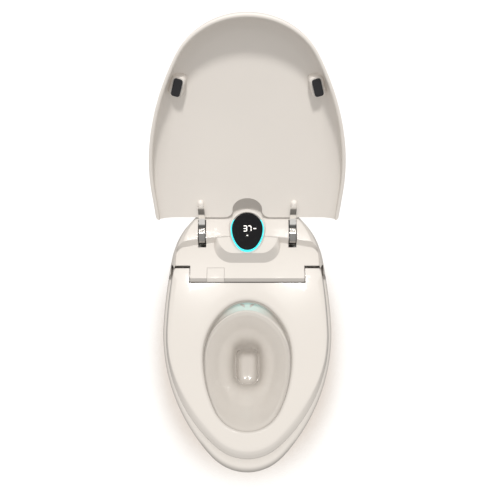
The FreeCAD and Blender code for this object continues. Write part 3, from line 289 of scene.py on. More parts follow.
def speckle_group():
    """Very fine unevenness of moulded and glazed surfaces: a height and a shade, both near one half."""
    group = bpy.data.node_groups.new("fine unevenness", "ShaderNodeTree")
    size = group.interface.new_socket("Size", in_out="INPUT", socket_type="NodeSocketFloat")
    size.default_value = 60.0
    group.interface.new_socket("Height", in_out="OUTPUT", socket_type="NodeSocketFloat")
    group.interface.new_socket("Shade", in_out="OUTPUT", socket_type="NodeSocketFloat")
    start = group.nodes.new("NodeGroupInput")
    end = group.nodes.new("NodeGroupOutput")
    where = node(group, "TexCoord")
    fine = node(group, "TexNoise", {"Detail": 3.0})
    broad = node(group, "TexNoise", {"Scale": 5.0, "Detail": 1.0})
    wire(group, where, "Object", fine, "Vector")
    wire(group, where, "Object", broad, "Vector")
    wire(group, start, "Size", fine, "Scale")
    wire(group, fine, "Fac", end, "Height")
    wire(group, broad, "Fac", end, "Shade")
    return group


UNEVEN = speckle_group()


def plastic(name, colour, roughness, coat=0.0, bump=0.0, size=60.0, tint=0.03, metallic=0.0, specular=0.5,
            edge=0.0):
    """A moulded or glazed surface: one colour with slight changes of shade, roughness and height.

    edge is the radius in millimetres that sharp edges are softened to.
    """
    material, tree = new_material(name)
    shader = tree.nodes["Principled BSDF"]
    shader.inputs["Metallic"].default_value = metallic
    shader.inputs["Coat Weight"].default_value = coat
    shader.inputs["Coat Roughness"].default_value = COAT_ROUGHNESS
    shader.inputs["Specular IOR Level"].default_value = specular
    uneven = node(tree, "Group", {"Size": size}, node_tree=UNEVEN)
    ends = {"A": tinted(colour, 1.0 - tint), "B": tinted(colour, 1.0 + tint)}
    shade = node(tree, "Mix", ends, data_type="RGBA")
    rough = node(tree, "MapRange", {"To Min": 0.9 * roughness, "To Max": 1.1 * roughness})
    wire(tree, uneven, "Shade", shade, "Factor")
    wire(tree, shade, "Result", shader, "Base Color")
    wire(tree, uneven, "Height", rough, "Value")
    wire(tree, rough, "Result", shader, "Roughness")
    faces = shader
    if bump:
        faces = node(tree, "Bump", {"Strength": bump, "Distance": UNEVEN_DEPTH})
        wire(tree, uneven, "Height", faces, "Height")
        wire(tree, faces, "Normal", shader, "Normal")
    if edge:
        wire(tree, node(tree, "Bevel", {"Radius": edge * MM}, samples=6), "Normal", faces, "Normal")
    return material


def glow(name, colour, strength):
    """A lit surface of one colour."""
    material, tree = new_material(name)
    shader = tree.nodes["Principled BSDF"]
    shader.inputs["Base Color"].default_value = (*colour, 1.0)
    shader.inputs["Roughness"].default_value = 0.4
    shader.inputs["Emission Color"].default_value = (*colour, 1.0)
    shader.inputs["Emission Strength"].default_value = strength
    return material


def painted_front_shade(material, colour, shade, start, full, ahead_of):
    """Paints shade on a material where it faces the front, ahead of a place.

    start and full are how squarely it faces the front where the shade begins and where it is full.
    """
    tree = material.node_tree
    shader = tree.nodes["Principled BSDF"]
    source = shader.inputs["Base Color"].links[0].from_socket
    turn = node(tree, "MapRange", {"From Min": -start, "From Max": -full}, interpolation_type="SMOOTHSTEP")
    zone = node(tree, "MapRange", {"From Min": ahead_of * MM, "From Max": (ahead_of - SHADE_EDGE) * MM})
    both = node(tree, "Math", operation="MULTIPLY")
    mix = node(tree, "Mix", {"B": tinted(colour, shade)}, data_type="RGBA")
    wire(tree, axes_of(tree, "NewGeometry", "Normal"), "Y", turn, "Value")
    wire(tree, axes_of(tree, "TexCoord", "Object"), "Y", zone, "Value")
    wire(tree, turn, "Result", both, 0)
    wire(tree, zone, "Result", both, 1)
    wire(tree, both, "Value", mix, "Factor")
    tree.links.new(source, mix.inputs["A"])
    wire(tree, mix, "Result", shader, "Base Color")
    return material


def painted_reflection_bands(material, low, high, bands):
    """Paints reflections on a material in bands along its depth, as a curved polished strip mirrors a room.
    """
    tree = material.node_tree
    shader = tree.nodes["Principled BSDF"]
    span = node(tree, "MapRange", {"From Min": low * MM, "From Max": high * MM})
    ramp = node(tree, "ValToRGB")
    stops = ramp.color_ramp.elements
    while len(stops) < len(bands):
        stops.new(1.0)
    for stop, (place, shade) in zip(stops, bands):
        stop.position = (place - low) / (high - low)
        stop.color = (*[shade * c for c in METAL_WARMTH], 1.0)
    wire(tree, axes_of(tree, "TexCoord", "Object"), "Y", span, "Value")
    wire(tree, span, "Result", ramp, "Fac")
    wire(tree, ramp, "Color", shader, "Base Color")
    return material


def painted_lamp_glow(material, colour, centre, reach, above_z, strength):
    """Paints, as a glow, the light that a small lamp throws on a surface around a place, above a height."""
    tree = material.node_tree
    shader = tree.nodes["Principled BSDF"]
    far = node(tree, "VectorMath", {1: [c * MM for c in centre]}, operation="DISTANCE")
    span = {"From Min": 0.0, "From Max": reach * MM, "To Min": strength, "To Max": 0.0}
    fade = node(tree, "MapRange", span, interpolation_type="SMOOTHSTEP")
    above = node(tree, "MapRange", {"From Min": above_z * MM, "From Max": (above_z + LAMP_GLOW_EDGE) * MM})
    both = node(tree, "Math", operation="MULTIPLY")
    wire(tree, node(tree, "TexCoord"), "Object", far, 0)
    wire(tree, far, "Value", fade, "Value")
    wire(tree, axes_of(tree, "TexCoord", "Object"), "Z", above, "Value")
    wire(tree, fade, "Result", both, 0)
    wire(tree, above, "Result", both, 1)
    shader.inputs["Emission Color"].default_value = (*colour, 1.0)
    wire(tree, both, "Value", shader, "Emission Strength")
    return material


# ------------------------------------------------------------------ the object's materials

WARM_WHITE = (0.655, 0.615, 0.57)
SEAT_WHITE = (0.645, 0.605, 0.56)
# The teal light of the bowl's night light, painted as a glow on the glaze, and the place it is centred on.
LAMP_GLOW_TEAL = (0.30, 0.95, 0.90)
BOWL_LAMP = (0.0, -44.0, 384.0)
ARM_SPAN = (95.0, 170.0)
# Painted reflections: places along an arm's depth, each with the brightness of what it mirrors.
ARM_REFLECTION_BANDS = [(101.0, 0.36), (118.0, 0.42), (121.0, 0.85), (129.0, 0.85), (132.5, 0.16), (136.5, 0.16),
             (139.5, 1.0), (153.5, 1.0), (155.0, 0.18), (161.0, 0.24), (163.0, 0.85)]


def glazed_ceramic():
    """White glaze, with painted shade on the front of the body and the lamp's teal light painted as a glow
    on the bowl's rear wall.
    """
    glaze = plastic("glazed ceramic", WARM_WHITE, 0.16, coat=0.5, size=8.0, bump=0.05)
    painted_front_shade(glaze, WARM_WHITE, shade=0.70, start=0.25, full=0.85, ahead_of=-335.0)
    return painted_lamp_glow(glaze, LAMP_GLOW_TEAL, BOWL_LAMP, reach=72.0, above_z=370.4, strength=0.30)


def housing_plastic():
    white = plastic("housing plastic", WARM_WHITE, 0.32, coat=0.12, size=90.0, bump=0.03, edge=3.0)
    # Painted shade darkens the walls that face the front, ahead of y 95 mm.
    return painted_front_shade(white, WARM_WHITE, shade=0.72, start=0.20, full=0.50, ahead_of=95.0)


def seat_plastic():
    white = plastic("seat plastic", SEAT_WHITE, 0.22, coat=0.3, size=40.0, bump=0.03)
    # Painted shade darkens the slopes that face the front, ahead of y -200 mm.
    return painted_front_shade(white, SEAT_WHITE, shade=0.86, start=0.35, full=0.90, ahead_of=-200.0)


def polished_metal():
    metal = plastic("polished metal", (0.80, 0.78, 0.75), 0.14, metallic=1.0, tint=0.01, size=200.0)
    # The metal's colour carries painted reflections in bands along the arm.
    return painted_reflection_bands(metal, *ARM_SPAN, ARM_REFLECTION_BANDS)


MATERIALS = {
    "ceramic": glazed_ceramic(),
    "housing_plastic": housing_plastic(),
    "cover_plastic": plastic("cover plastic", WARM_WHITE, 0.32, coat=0.12, size=90.0, bump=0.03, edge=1.0),
    "seat_plastic": seat_plastic(),
    "seat_base_plastic": plastic("seat underside", (0.62, 0.60, 0.57), 0.5),
    "lid_plastic": plastic("lid plastic", (0.86, 0.81, 0.755), 0.35, coat=0.08, size=70.0, bump=0.03),
    "display_glass": plastic("display glass", (0.006, 0.006, 0.007), 0.08, tint=0.0, specular=0.22),
    "ring_light": glow("ring light", (0.03, 0.50, 0.54), 1.15),
    "polished_metal": polished_metal(),
    "lit_marks": glow("lit marks", (1.0, 0.97, 0.92), 0.85),
    "steel": plastic("steel", (0.55, 0.55, 0.55), 0.3, metallic=1.0),
    "bright_brass": plastic("plated brass", (0.72, 0.60, 0.36), 0.3, metallic=1.0),
    "rubber_pad": plastic("pad rubber", (0.025, 0.025, 0.028), 0.75, bump=0.6, size=900.0),
    "soft_foot": plastic("soft foot", (0.70, 0.68, 0.65), 0.6),
    "inner_plastic": plastic("inner plastic", (0.66, 0.64, 0.60), 0.45),
    "dark_plastic": plastic("dark plastic", (0.05, 0.05, 0.055), 0.5),
    "gear_plastic": plastic("gear plastic", (0.80, 0.76, 0.68), 0.45),
    "board_green": plastic("board", (0.02, 0.12, 0.06), 0.45),
    "foil": plastic("foil", (0.70, 0.68, 0.64), 0.35, metallic=1.0),
    "socket_plastic": plastic("socket plastic", (0.30, 0.31, 0.33), 0.45),
}
# Nodes that are seen through a gap take the finish of the surface they continue.
STAND_INS = {"seat_hinge_pins": "seat_plastic", "seat_damper_left": "seat_plastic",
             "seat_damper_right": "seat_plastic", "nozzle_housing": "ceramic", "wand_guide": "ceramic"}


def dress(obj, slot):
    obj.data.materials.clear()
    obj.data.materials.append(MATERIALS[slot])
    return obj


def dress_cad():
    """Gives each CAD node the finish that the record names for it, or its stand-in."""
    slots = {entry["node"]: entry["material_slot"] for entry in frame["record"]["subparts"]}
    for name, obj in frame["nodes"].items():
        dress(obj, STAND_INS.get(name, slots[name]))


def piece(obj, slot, body, *nodes):
    """A finished surface that rides a body and takes the place of CAD nodes on it."""
    dress(obj, slot)
    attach(obj, body)
    if nodes:
        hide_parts(*nodes)
    return obj


# ------------------------------------------------------------------ ceramic

BODY_HALF = 197.5
BODY_FRONT = -404.0
BODY_REAR = 212.0
BODY_WAIST = -82.0
BODY_CENTRE = (0.0, -90.0)
RIM = 392.0
RIM_ROUND = 17.0
SIDE_TOP = 8.0
FOOT_INSET = 62.0
FOOT_RAKE = 1.65
FOOT_WALL = 12.0
FOOT_EDGE = 2.0
FOOT_EDGE_HIGH = 2.5
FOOT_HEIGHTS = (160.0, 120.0, 60.0, 2.0)
# The sides' places, as shares of the shoulder's height, and their insets there, as shares of the foot's.
SIDE_SHARES = [(0.0, 1.0), (0.45, 0.62), (0.80, 0.17)]
BOWL = dict(half=104.0, rear=-33.0, front=-331.0, waist=-160.0)
BOWL_SHARES = (0.78, 0.80)
BOWL_FRONT_INSET = 1.6
BOWL_EDGE = 4.0
WALL_INSET = 2.0
WALL_LEAN = 11.25
LEDGE_Z = 370.0
LEDGE_ROUND = 3.0
LEDGE_SHIFT = -3.0
LEDGE_INSET = 5.6
LEDGE_LEAN = 18.3
# Inset, lean and height over the ledge of the rings that round it.
LEDGE_STEPS = ((2.2, 12.0, 1.0), (3.0, 13.5, 0.2), (4.2, 15.6, 0.0), (5.0, 17.2, -0.6),
               (LEDGE_INSET, LEDGE_LEAN, -2.4))
BASIN_DEPTHS = [0.0, 0.20, 0.50, 0.80, 1.0]
BASIN_SHARES = [0.0, 0.30, 0.68, 0.92, 1.0]
SUMP = dict(half=27.0, rear=-115.0, front=-201.0, waist=-158.0)
SUMP_SHARE = 0.62
SUMP_CORNER = 17.0
SUMP_FROM = 0.45
SUMP_ONSET = 1.3
SUMP_MOUTH = 0.6
# How much wider the pocket is than its mouth, with how far below its top and how far over its floor.
SUMP_LIP = ((0.2, 0.8), (-0.4, 3.0), (-0.9, 12.0))
SUMP_FOOT = ((-2.0, 16.0), (-4.0, 8.0), (-8.0, 2.5), (-14.0, 0.0))
SUMP_TOP = 236.0
SUMP_FLOOR = 192.0


def body_ring(drawn, z, rake=FOOT_RAKE, back=0.0):
    """The body's outline: sides drawn in, front drawn in rake times as far, rear moved forward by back."""
    half, front, rear = BODY_HALF - drawn, BODY_FRONT + drawn * rake, BODY_REAR - back
    outline = ring(lambda x, y: body_distance(x, y, half, front, rear, BODY_WAIST), BODY_CENTRE)
    return at_height(outline, z)


def bowl_ring(share, z, inset=0.0, lean=0.0, shift=0.0):
    """The bowl's egg, a share of the way to the outlet pocket's.

    inset draws in its sides and front, lean moves its rear forward and shift moves it to the right.
    """
    size = {key: BOWL[key] + (SUMP[key] - BOWL[key]) * share for key in BOWL}
    shares = [s + (SUMP_SHARE - s) * share for s in BOWL_SHARES]
    half, rear = size["half"] - inset, size["rear"] - lean
    front = size["front"] + BOWL_FRONT_INSET * inset

    def distance(x, y):
        return egg_distance(x - shift, y, half, rear, front, size["waist"], shares)

    return at_height(ring(distance, (0.0, SUMP["waist"]), even=False), z)


def sump_ring(grow, z):
    """Rounded-rectangle outline of the outlet pocket."""
    half = SUMP["half"] + grow
    length = 0.5 * (SUMP["rear"] - SUMP["front"]) + grow

    def distance(x, y):
        dx = np.abs(x) - half + SUMP_CORNER
        dy = np.abs(y - SUMP["waist"]) - length + SUMP_CORNER
        outside = np.hypot(np.maximum(dx, 0.0), np.maximum(dy, 0.0))
        return outside + np.minimum(np.maximum(dx, dy), 0.0) - SUMP_CORNER

    return at_height(ring(distance, (0.0, SUMP["waist"]), smoothing=1, even=False), z)


def foot_rings():
    """Down the inside of the hollow foot and across its bottom edge."""
    inner = FOOT_INSET + FOOT_WALL
    rings = [body_ring(inner, z, back=FOOT_WALL) for z in FOOT_HEIGHTS]
    rings.append(body_ring(inner - FOOT_EDGE, 0.0, back=FOOT_WALL - FOOT_EDGE))
    rings.append(body_ring(FOOT_INSET + FOOT_EDGE, 0.0, back=0.5 * FOOT_EDGE))
    return rings


def side_rings():
    """Up the outside, which swells from the foot to the rim, and round the rim's outer edge."""
    shoulder = RIM - 2.0 * RIM_ROUND
    top = shoulder + SIDE_TOP
    knots = [share * shoulder for share, _ in SIDE_SHARES] + [top]
    insets = [share * FOOT_INSET for _, share in SIDE_SHARES] + [0.0]
    rings = []
    for z in np.concatenate([[1.0, FOOT_EDGE_HIGH], np.linspace(6.0, top, 44)]):
        edge = FOOT_EDGE * (1.0 - min(z / FOOT_EDGE_HIGH, 1.0)) ** 2
        rings.append(body_ring(eased(z, knots, insets) + edge, z))
    for turn in quarter(12)[1:]:
        drawn = RIM_ROUND * (1.0 - math.cos(turn))
        rings.append(body_ring(drawn, RIM - RIM_ROUND * (1.0 - math.sin(turn)), rake=1.0, back=drawn))
    return rings


def rim_rings():
    """Across the rim's flat top and round its inner edge."""
    outer = body_ring(RIM_ROUND, RIM, rake=1.0, back=RIM_ROUND)
    inner = bowl_ring(0.0, RIM, inset=-BOWL_EDGE, lean=-BOWL_EDGE)
    rings = blended(outer, inner, np.linspace(0.0, 1.0, 10)[1:])
    for turn in quarter(7)[1:]:
        back = BOWL_EDGE * (1.0 - math.sin(turn))
        rings.append(bowl_ring(0.0, RIM - BOWL_EDGE * (1.0 - math.cos(turn)), inset=-back, lean=-back))
    return rings


def ledge_rings():
    """Down the upright wall under the rim and over the small ledge at its foot."""
    top, low = RIM - BOWL_EDGE, LEDGE_Z + LEDGE_ROUND
    rings = []
    for share in np.linspace(0.0, 1.0, 9)[1:]:
        z = top + (low - top) * share
        rings.append(bowl_ring(0.0, z, inset=WALL_INSET * share, lean=WALL_LEAN * share))
    for inset, lean, over in LEDGE_STEPS:
        shift = LEDGE_SHIFT * inset / LEDGE_INSET
        rings.append(bowl_ring(0.0, LEDGE_Z + over, inset=inset, lean=lean, shift=shift))
    return rings


def basin_rings():
    """Down the basin, whose egg turns into the outlet pocket's rounded rectangle."""
    rings = []
    for depth in np.linspace(0.03, 1.0, 30):
        share = float(eased(depth, BASIN_DEPTHS, BASIN_SHARES))
        left = 1.0 - share
        z = LEDGE_Z + (SUMP_TOP - LEDGE_Z) * depth
        inset, lean, shift = [left * size for size in (LEDGE_INSET, LEDGE_LEAN, LEDGE_SHIFT)]
        egg = bowl_ring(share, z, inset=inset, lean=lean, shift=shift)
        square = max(0.0, (share - SUMP_FROM) / (1.0 - SUMP_FROM)) ** SUMP_ONSET
        rings.append(egg + (sump_ring(SUMP_MOUTH, z) - egg) * square)
    return rings


def pocket_rings():
    """Down the outlet pocket to its rounded floor."""
    return ([sump_ring(grow, SUMP_TOP - below) for grow, below in SUMP_LIP]
            + [sump_ring(grow, SUMP_FLOOR + over) for grow, over in SUMP_FOOT])


def ceramic():
    """The glazed body, from the inside of its foot over the rim and down to the outlet pocket's floor."""
    rings = foot_rings() + side_rings() + rim_rings() + ledge_rings() + basin_rings() + pocket_rings()
    return rings_mesh("ceramic_surface", rings)


# ------------------------------------------------------------------ seat

SEAT_HALF = 186.0
SEAT_NOSE = -377.0
SEAT_WAIST = -100.0
SEAT_TAIL = 158.0
SEAT_CENTRE = (0.0, -150.0)
SEAT_SHAPE = (0.72, 0.24)
SEAT_SLIM = 0.4
SEAT_BROAD_FROM = -150.0
SEAT_BROAD_RUN = 170.0
SEAT_LOW = 402.0
SEAT_TOP = 424.0
SEAT_RISE = 6.5
SEAT_SLOPE = 18.0
SEAT_REAR = 4.5
SEAT_SIDE_KNOTS = [0.0, 0.10, 0.24, 0.55, 0.84, 0.96, 1.0]
SEAT_SIDE_INSETS = [2.6, 0.6, 0.0, 5.0, 12.0, 16.2, 20.0]
PLATE_INSET = 1.0
EAR_INNER = 135.5
EAR_REAR = 40.0
HOLE = dict(half=99.0, rear=-36.0, front=-322.0, waist=-160.0)
HOLE_FLARE = 7.0
HOLE_FLARE_WIDTH = 1.25 * HOLE_FLARE
# How much wider the hole is than at its waist, height over the underside and share of the top's rise.
HOLE_FOOT = ((1.0, 0.0, 0.0), (0.0, 1.5, 0.0), (0.0, 7.0, 0.5))
UNDER_OUTER = (5.0, 6.0)
UNDER_INNER = 3.0
FINE_COUNT = 420


def seat_rise(y):
    """How much higher the seat's top is at y than at its front."""
    front = SEAT_NOSE + SEAT_SLOPE
    return SEAT_RISE * (y - front) / (SEAT_REAR - front)


def laid(points, share):
    """Lifts points towards the rear by a share of the seat top's rise."""
    points = np.array(points)
    points[:, 2] += share * seat_rise(points[:, 1])
    return points


def seat_ring(drawn, share):
    """The seat's outline at a share of its height, drawn in fully at the front and less at the rear."""
    def outline(inset):
        half, nose = SEAT_HALF - inset, SEAT_NOSE + inset
        return ring(lambda x, y: body_distance(x, y, half, nose, SEAT_TAIL, SEAT_WAIST, *SEAT_SHAPE),
                    SEAT_CENTRE, count=FINE_COUNT)

    broad, slim = outline(drawn), outline(SEAT_SLIM * drawn)
    ahead = np.clip((SEAT_BROAD_FROM - broad[:, 1]) / SEAT_BROAD_RUN, 0.0, 1.0)
    ahead = (ahead ** 2 * (3.0 - 2.0 * ahead))[:, None]
    return laid(at_height(slim + (broad - slim) * ahead, SEAT_LOW + share * (SEAT_TOP - SEAT_LOW)), share)


def hole_ring(grow, z, share):
    """The outline of the seat's hole, grown all round, lifted by a share of the seat top's rise."""
    half, rear, front = HOLE["half"] + grow, HOLE["rear"] + grow, HOLE["front"] - grow

    def distance(x, y):
        return egg_distance(x, y, half, rear, front, HOLE["waist"], BOWL_SHARES)

    return laid(at_height(ring(distance, SEAT_CENTRE, count=FINE_COUNT), z), share)


def hole_wall():
    """Up the wall of the seat's hole and round its flared edge."""
    rings = [hole_ring(grow, SEAT_LOW + over, share) for grow, over, share in HOLE_FOOT]
    for turn in quarter(8):
        below = HOLE_FLARE * (1.0 - math.sin(turn))
        rings.append(hole_ring(HOLE_FLARE_WIDTH * (1.0 - math.cos(turn)), SEAT_TOP - below, 1.0))
    return rings


def seat_side():
    """Down the seat's rounded outer side, from its top."""
    shares = np.concatenate([[0.993, 0.975], np.linspace(0.95, 0.0, 22)])
    return [seat_ring(float(eased(share, SEAT_SIDE_KNOTS, SEAT_SIDE_INSETS)), share) for share in shares]


def seat_under():
    """Across the underside, set back a little behind the face of the CAD's plate, which shows there."""
    edge, start = UNDER_OUTER
    outer = seat_ring(start, 0.0) + np.array((0.0, 0.0, PLATE_INSET))
    inner = hole_ring(UNDER_INNER, SEAT_LOW + PLATE_INSET, 0.0)
    return [seat_ring(edge, 0.0)] + blended(outer, inner, (0.0, 0.33, 0.66, 1.0))


def seat_surface():
    """The seat's cover: a ring all round, cut straight behind the hole and at the rear of its two ears."""
    wall = hole_wall()
    top = blended(wall[-1], seat_ring(SEAT_SIDE_INSETS[-1], 1.0), np.linspace(0.0, 1.0, 9)[1:])
    rings = wall + top + seat_side() + seat_under()
    obj = rings_mesh("seat_surface", rings + [rings[0]], False, False)
    wide, deep, high = 2.0 * SEAT_HALF, 3.0 * EAR_REAR, 2.0 * SEAT_TOP
    cut(obj, box_mesh("cut_back", (-EAR_INNER, SEAT_REAR, 0.0), (EAR_INNER, deep, high)))
    cut(obj, box_mesh("cut_ears", (-wide, EAR_REAR, 0.0), (wide, 2.0 * deep, high)))
    return creased(obj)


# ------------------------------------------------------------------ lid

LID_HALF = 212.5
LID_FRONT = -406.0
LID_SIDE = -8.0
LID_NOSE = 0.69
LID_CENTRE = (0.0, -120.0)
# The height of the lid's rim and its depth under the roof, each at the front and at the rear.
LID_RIM = (402.0, 440.0)
LID_DEPTH = (45.0, 16.0)
LID_REAR = 78.0
LID_ROLL = 42.0
LID_ROLL_MOST = 0.98
LID_WALL = 3.0
LID_LIP = 5.0
LID_LIP_SHARE = 0.16
LID_RIM_ROUND = 0.35
ROOF_SHARES = (0.02, 0.25, 0.5, 0.75, 0.9, 0.97)
LID_CORNER = 13.0
NOTCH = dict(half=34.5, depth=58.0, flare=20.0)
# Middle, half width, half length and turn of a bumper; its boss's margin round it; its thickness.
BUMPER = dict(x=133.0, y=-261.0, half=8.5, long=17.5, turn=17.0, margin=3.6, thick=4.3)
BUMPER_CORNER = 0.7
BUMPER_SINK = 1.0
ARM = dict(x=107.0, y=41.0, half=7.25)
ARM_TIP_TURNS = (20, 40, 60, 75, 85)
ARM_TIP_FROM = 0.9
ARM_TIP_STRETCH = 1.1
ARM_ROOF_SHARE = 0.2
# The lid hinge's y and z, and how many degrees the lid opens.
PIVOT = (121.0, 437.0)
OPEN = 115.5


def lid_ring(share, inset):
    """The lid's outline at a share of the way from its rim to its roof, drawn shut."""
    roll = LID_ROLL * min(1.0 - math.sqrt(max(1.0 - share ** 2, 0.0)), LID_ROLL_MOST)
    half = LID_HALF - roll - inset
    front = LID_FRONT + roll + inset
    z = LID_RIM[0] + share * (LID_DEPTH[0] - inset)
    rise = LID_RIM[1] - LID_RIM[0] + share * (LID_DEPTH[1] - LID_DEPTH[0])

    def distance(x, y):
        ahead = end_distance(np.abs(x), LID_SIDE - y, half, LID_SIDE - front, LID_NOSE * half)
        beside = np.abs(x) - half
        return np.where(y < LID_SIDE, ahead, np.maximum(beside, y - LID_REAR - 2.0 * LID_ROLL))

    points = at_height(ring(distance, LID_CENTRE, count=FINE_COUNT, smoothing=1), z)
    tilt = math.atan2(rise, LID_REAR - LID_FRONT)
    run = points[:, 1] - LID_FRONT
    points[:, 1] = LID_FRONT + run * math.cos(tilt)
    points[:, 2] = z + run * math.sin(tilt)
    return points


def lid_mouth():
    """What is cut from the lid behind its rear edge: rounded corners and the flared notch."""
    far = LID_REAR + 4.0 * LID_ROLL
    wide = LID_HALF + LID_ROLL
    half, flare = NOTCH["half"], NOTCH["flare"]
    deep = LID_REAR - NOTCH["depth"] + half
    corner = arc_points(LID_HALF - LID_CORNER, LID_REAR - LID_CORNER, LID_CORNER, 0.0, 90.0)
    flared = arc_points(half + flare, LID_REAR - flare, flare, 90.0, 180.0)
    tip = [(x, 2.0 * deep - y) for x, y in arc_points(0.0, deep, half, 0.0, 90.0, 14)]
    side = [(wide, LID_REAR - LID_CORNER)] + corner + flared + tip
    mirror = [(-x, y) for x, y in reversed(side[:-1])]
    outline = side + mirror + [(-wide, far), (wide, far)]
    return prism_mesh("lid_mouth", outline[::-1], 0.0, OUTLINE_REACH)


def opened(obj):
    """Turns the lid from shut, as it is drawn, to open."""
    centre = Matrix.Translation((0.0, PIVOT[0] * MM, PIVOT[1] * MM))
    obj.data.transform(centre @ Matrix.Rotation(math.radians(-OPEN), 4, "X") @ centre.inverted())
    return obj


def roof_height(y):
    """Height of the lid's inner roof at y, drawn shut."""
    crown = lid_ring(1.0, LID_WALL)
    ahead = crown[crown[:, 1].argmin()]
    rear = crown[crown[:, 1].argmax()]
    slope = (rear[2] - ahead[2]) / (rear[1] - ahead[1])
    return ahead[2] + slope * (y - ahead[1])


def bumper_boss(side):
    """The raised seat of a bumper, from just above the pad to the roof."""
    half, long = BUMPER["half"] + BUMPER["margin"], BUMPER["long"] + BUMPER["margin"]
    corner = BUMPER_CORNER * half
    turn = math.radians(BUMPER["turn"]) * side
    outline = []
    for start, sx, sy in ((0.0, 1, 1), (90.0, -1, 1), (180.0, -1, -1), (270.0, 1, -1)):
        outline += arc_points(sx * (half - corner), sy * (long - corner), corner, start, start + 90.0, 7)
    outline = np.array(outline)
    low = SEAT_TOP + seat_rise(BUMPER["y"]) + BUMPER["thick"]
    high = roof_height(BUMPER["y"]) + BUMPER_SINK
    steps = [(-2.0, low), (-0.7, low + 0.3), (0.0, low + 1.4), (1.5, 0.5 * (low + high)), (3.0, high)]
    rings = []
    for grow, z in steps:
        x = outline[:, 0] * (1.0 + grow / half)
        y = outline[:, 1] * (1.0 + grow / long)
        flat = np.column_stack([side * BUMPER["x"] + x * math.cos(turn) + y * math.sin(turn),
                                BUMPER["y"] - x * math.sin(turn) + y * math.cos(turn)])
        rings.append(at_height(flat, z))
    return rings_mesh("bumper_boss", rings)


def arm_boss(side):
    """The bullet-shaped end under which an arm's blade is held."""
    turns = np.linspace(0.0, 2.0 * math.pi, 32, endpoint=False)
    half = ARM["half"]
    across, up = np.cos(turns), np.sin(turns)
    up = up * np.where(up > 0.0, ARM_ROOF_SHARE, 1.0)
    tip = [(ARM_TIP_FROM + math.sin(t), math.cos(t)) for t in np.radians(ARM_TIP_TURNS)]
    rings = []
    for back, size in [(0.0, 1.0), (ARM_TIP_FROM, 1.0)] + tip:
        y = ARM["y"] - back * half * ARM_TIP_STRETCH
        rings.append(np.column_stack([side * ARM["x"] + size * half * across, np.full_like(turns, y),
                                      roof_height(y) + size * half * up]))
    return rings_mesh("arm_boss", rings[::-1])


def rim_bead():
    """The rounded edge of the lid's rim, from outside to inside."""
    broad = LID_WALL + LID_LIP
    rings = []
    for turn in np.linspace(0.0, math.pi, 9):
        bead = lid_ring(0.0, 0.5 * broad * (1.0 - math.cos(turn)))
        bead[:, 2] += LID_RIM_ROUND * broad * (1.0 - math.sin(turn))
        rings.append(bead)
    return rings


def lid_surface():
    """The lid's shell, from the middle of its outer face round the rim to the middle of its inner face."""
    shares = np.sin(quarter(22))
    outer = [lid_ring(share, 0.0) for share in shares[2:]][::-1]
    lip = LID_LIP * np.clip(1.0 - shares / LID_LIP_SHARE, 0.0, 1.0) ** 2
    inner = [lid_ring(share, LID_WALL + extra) for share, extra in zip(shares[1:], lip[1:])]
    roof_out = blended(outer[0].mean(axis=0), outer[0], ROOF_SHARES)
    roof_in = blended(inner[-1].mean(axis=0), inner[-1], ROOF_SHARES[::-1])
    obj = rings_mesh("lid_surface", roof_out + outer + rim_bead() + inner + roof_in)
    cut(obj, lid_mouth())
    joined(obj, *[boss(side) for side in (-1.0, 1.0) for boss in (bumper_boss, arm_boss)])
    return creased(opened(obj))


# ------------------------------------------------------------------ display

DISPLAY = dict(front=78.0, z=453.0, tilt=12.0)
SEGMENTS = {"3": "abgcd", "7": "abc"}
SEGMENT_ENDS = {"a": ((0, 2), (1, 2)), "b": ((1, 1), (1, 2)), "c": ((1, 0), (1, 1)), "d": ((0, 0), (1, 0)),
                "g": ((0, 1), (1, 1))}
SEGMENT_GAP = 0.62
FIGURE = dict(v=44.5, high=12.5, width=1.7)


def on_glass(x, v, lift=0.12):
    """A point on the glass: x across it and v up it from its front edge."""
    tilt = math.radians(DISPLAY["tilt"])
    return (x, DISPLAY["front"] + v * math.cos(tilt) - lift * math.sin(tilt),
            DISPLAY["z"] + v * math.sin(tilt) + lift * math.cos(tilt))


def bar(x0, v0, x1, v1, width):
    """A flat bar with pointed ends between two places on the glass."""
    run = np.array([x1 - x0, v1 - v0])
    along = run / np.hypot(*run) * 0.5 * width
    across = np.array([-along[1], along[0]])
    a, b = np.array([x0, v0]), np.array([x1, v1])
    outline = [a - along, a - across, b - across, b + along, b + across, a + across]
    return [tuple(p) for p in outline]


def figure(char, x, wide):
    """The bars of one seven-segment figure whose left side is at x."""
    bars = []
    for letter in SEGMENTS[char]:
        start, end = [np.array([x + u * wide, FIGURE["v"] + w * 0.5 * FIGURE["high"]])
                      for u, w in SEGMENT_ENDS[letter]]
        inset = (end - start) * SEGMENT_GAP * FIGURE["width"] / np.hypot(*(end - start))
        bars.append(bar(*(start + inset), *(end - inset), FIGURE["width"]))
    return bars


def display_marks():
    """The lit temperature with its dash and dot."""
    outlines = figure("3", -9.2, 8.0) + figure("7", 1.6, 7.2)
    outlines.append(bar(15.0, 50.6, 20.4, 50.6, 2.0))
    outlines.append(bar(-0.9, 34.2, 1.1, 34.2, 2.4))
    points, faces = [], []
    for outline in outlines:
        faces.append(tuple(range(len(points), len(points) + len(outline))))
        points += [on_glass(x, v) for x, v in outline]
    return mesh_object("display_marks", points, faces, smooth=False)


# ------------------------------------------------------------------ stage, light and camera

